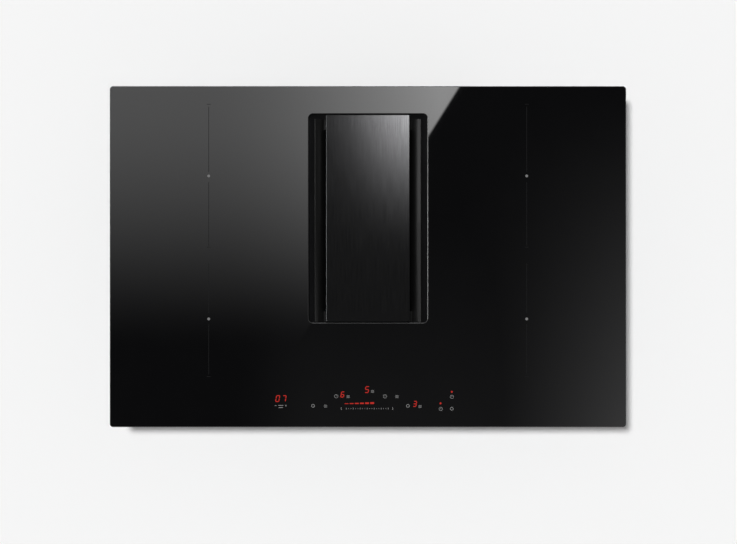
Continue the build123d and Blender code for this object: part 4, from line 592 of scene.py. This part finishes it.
def lay_bar(x, y, width, depth, turn=0.0):
    """A straight stroke of print, in millimetres from the middle of the glass."""
    bpy.ops.object.select_all(action="DESELECT")
    bpy.ops.mesh.primitive_plane_add(size=1, location=(x / 1000, y / 1000, glass_z))
    bar = bpy.context.object
    bar.scale = (width / 1000, depth / 1000, 1)
    bar.rotation_euler[2] = math.radians(turn)
    marks.append(bar)


def lay_disc(x, y, radius, sides=20, ring=0.0):
    """A dot of print, or a ring of that line width."""
    bpy.ops.object.select_all(action="DESELECT")
    bpy.ops.mesh.primitive_circle_add(vertices=sides, radius=radius / 1000, fill_type="NGON",
                                      location=(x / 1000, y / 1000, glass_z))
    dot = bpy.context.object
    if ring:
        bpy.ops.object.mode_set(mode="EDIT")
        bpy.ops.mesh.select_all(action="SELECT")
        bpy.ops.mesh.inset(thickness=ring / 1000)
        bpy.ops.mesh.delete(type="FACE")
        bpy.ops.object.mode_set(mode="OBJECT")
    marks.append(dot)


def fire_marks(name, material):
    """Joins the strokes laid so far into one film on the glass, and starts a new set."""
    bpy.ops.object.select_all(action="DESELECT")
    for mark in marks:
        mark.select_set(True)
    bpy.context.view_layer.objects.active = marks[0]
    bpy.ops.object.join()
    piece = bpy.context.object
    piece.name = name
    bpy.ops.object.transform_apply(location=True, rotation=True, scale=True)
    bpy.ops.object.origin_set(type="ORIGIN_CURSOR")
    bpy.ops.object.mode_set(mode="EDIT")
    bpy.ops.mesh.select_all(action="SELECT")
    bpy.ops.mesh.extrude_region_move(TRANSFORM_OT_translate={"value": (0, 0, film)})
    bpy.ops.mesh.select_all(action="SELECT")
    bpy.ops.mesh.normals_make_consistent(inside=False)
    bpy.ops.object.mode_set(mode="OBJECT")
    piece.data.materials.clear()
    piece.data.materials.append(material)
    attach(piece, "casing")
    marks.clear()


# Zone lines: a line through each pair of zones, broken at its middle and at the dots, with a
# short bar at both ends and near its middle, dark grey and hardly there. The dots in the middle
# of the zones are paler.
bpy.context.scene.cursor.location = (0, 0, 0)
zone_lines_x, line_width, bar_width, dot_radius = (-240.6, 239.8), 0.7, 6.0, 2.1
grey_print = moulded("enamel_print_grey_fired", "#151516", "#1a1a1b", 0.6, 0.3, 0.004,
                     Specular_IOR_Level=0.3)[0]
for zone_x in zone_lines_x:
    for near, far in ((16.0, 112.8), (127.9, 226.6), (-177.8, -102.0), (-85.4, -9.9)):
        lay_bar(zone_x, (near + far) / 2, line_width, far - near)
    for y in (230.2, 14.3, -181.2):
        lay_bar(zone_x, y, bar_width, line_width)
fire_marks("zone_lines", grey_print)

pale_print = moulded("enamel_print_pale_grey_fired", "#6e6e6e", "#7c7c7c", 0.5, 0.3, 0.004)[0]
for zone_x in zone_lines_x:
    for y in (121.9, -94.1):
        lay_disc(zone_x, y, dot_radius)
fire_marks("zone_dots", pale_print)

# Control marks in thin white enamel, which looks grey on the black: a scale of ticks between two
# pointers, rings with a bar, stacks of three bars, hexagons, and a minus and a plus with two bars
# between them.
tick_start, tick_gap, tick_y, tick_width = -32.8, 3.52, -229.5, 0.55
white_print = moulded("enamel_print_white_fired", "#8a8a8a", "#9c9c9c", 0.5, 0.3, 0.004)[0]
for tick in range(19):
    lay_bar(tick_start + tick * tick_gap, tick_y, tick_width, 1.2 if tick % 3 else 2.4)
for x, way in ((-40.5, 1), (37.4, -1)):
    lay_bar(x, -228.7, 0.6, 2.4, way * -35)
    lay_bar(x, -230.3, 0.6, 2.4, way * 35)
for x, y in ((-48.0, -210.8), (25.7, -211.0), (126.8, -211.8), (110.0, -230.0)):
    lay_disc(x, y, 2.8, ring=0.4)
    lay_bar(x, y + 0.8, 0.5, 2.0)
for x, y in ((-30.0, -211.4), (43.8, -211.4), (-64.2, -225.8), (78.6, -226.4), (6.9, -203.6)):
    for row in (-1.6, 0.0, 1.6):
        lay_bar(x, y + row, 4.6, 0.45)
for x, y in ((-83.0, -225.4), (60.3, -225.4), (126.6, -229.8)):
    lay_disc(x, y, 2.7, sides=6, ring=0.55)
for x in (-139.5, -124.0):
    lay_bar(x, -225.0, 2.8, 0.5)
lay_bar(-124.0, -225.0, 0.5, 2.8)
lay_bar(-131.7, -224.8, 7.6, 0.7)
lay_bar(-131.7, -228.0, 6.2, 0.7)
fire_marks("control_print", white_print)

# Lit figures: red light that comes through the glass from the display blocks, seven straight
# segments to a figure, leaning a little.
red_light, nodes, shader, mm = new_finish("display_light_red", "#3c0504", 0.1, Emission_Strength=0.6)
flicker = add_node(nodes, "ShaderNodeTexNoise", {"Scale": 1.5}, {"Vector": mm})
glowing = add_node(nodes, "ShaderNodeMix", {"data_type": "RGBA", 6: linear("#cc332d"), 7: linear("#f2453c")},
                   {0: flicker.outputs["Fac"]})
nodes.links.new(glowing.outputs[2], shader.inputs["Emission Color"])
segment_places = {"a": (0, 1, False), "b": (0.5, 0.5, True), "c": (0.5, -0.5, True), "d": (0, -1, False),
                  "e": (-0.5, -0.5, True), "f": (-0.5, 0.5, True), "g": (0, 0, False)}
figures = {"0": "abcdef", "7": "abc", "6": "acdefg", "5": "acdfg", "3": "abcdg"}
figure_width, figure_half, segment_width, segment_gap = 5.0, 4.6, 1.25, 0.6
lean, upright_turn = 0.18, 80
for figure, x, y, size in (("0", -136.4, -214.4, 0.97), ("7", -126.6, -214.4, 0.95),
                           ("6", -38.4, -208.2, 0.86), ("5", -1.4, -200.8, 0.97),
                           ("3", 70.9, -222.4, 0.84)):
    for letter in figures[figure]:
        right, up, upright = segment_places[letter]
        aside, rise = right * figure_width * size, up * figure_half * size
        length = size * (figure_half if upright else figure_width) - segment_gap
        lay_bar(x + aside + lean * rise, y + rise, length, segment_width, upright_turn if upright else 0)

# The lit level bar, six blocks that grow to the right on one foot line, and two lit dots.
block_start, block_gap, block_length, foot_y = -32.4, 7.75, 5.8, -222.6
for block in range(6):
    tall = 1.0 + block * 0.36
    lay_bar(block_start + block * block_gap, foot_y + tall / 2, block_length, tall)
for x, y in ((126.7, -204.2), (109.6, -221.6)):
    lay_disc(x, y, 1.5, sides=12)
fire_marks("lit_figures", red_light)


# The cover plate. Stainless steel 2 mm thick, brushed along its length and coated black, bonded
# on a moulded carrier whose rubber pads stand on the filter basket. The brush lines are drawn
# 0.9 mm apart and 45 mm long, coarser than real ones, so that they show.
brush_gap_mm, brush_length_mm = 0.9, 45
cover_steel, nodes, shader, mm = new_finish("stainless_steel_brushed_black_coated", "#4a4a4b", 0.18, 1.0,
                                            Anisotropic=0.3)
grain_lines = add_node(nodes, "ShaderNodeMapping", {"Scale": (1 / brush_gap_mm, 1 / brush_length_mm, 1.0)},
                       {"Vector": mm})
brushed = add_node(nodes, "ShaderNodeTexNoise", {"Scale": 1.0, "Detail": 5.0, "Roughness": 0.65},
                   {"Vector": grain_lines.outputs[0]})
vary(nodes, shader, brushed.outputs["Fac"], "#28282a", "#6a6a6b", 0.15, 0.21)
emboss(nodes, shader, [(brushed.outputs["Fac"], 0.016)])
across_lines = add_node(nodes, "ShaderNodeCombineXYZ", {0: 1.0})
nodes.links.new(across_lines.outputs[0], shader.inputs["Tangent"])
dress(cover_steel, "cover_plate")

# The coating is ground off the cover's bevel and a strip inside it, which show dark bare steel
# with fine lines along it.
cover_half_x, cover_half_y, cover_corner = 63, 156.5, 1.0
cover_bevel, bare_strip = 0.6, 0.25
bare_edge = edge_skin("cover_bare_edge", cover_half_x, cover_half_y, cover_corner,
                      glass_z - (cover_bevel - skin_mm) / 1000,
                      [(cover_bevel, cover_bevel), (bare_strip, 0)])
bare_edge.data.materials.append(drawn_metal("stainless_steel_ground_edge", "#3e3f40", "#4a4b4c", 0.3, 0.3,
                                            1, 0.003))
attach(bare_edge, "cover")

# Both fine edges glint where they face the left of the studio, and the opening's front edge
# glints where it faces the back.
aim_spot("edge_spot", ["opening_ground_edge", "cover_bare_edge"], stand=(-3.0, 0.06, 0.5),
         target=(0.0, 0.06, 0.0), watts=100, radius=0.3)
aim_spot("front_edge_spot", ["opening_ground_edge"], stand=(0.0, 3.0, 0.5), target=(0.0, -0.1, 0.0),
         watts=20, radius=0.3)

bpy.context.scene.view_settings.view_transform = "Standard"
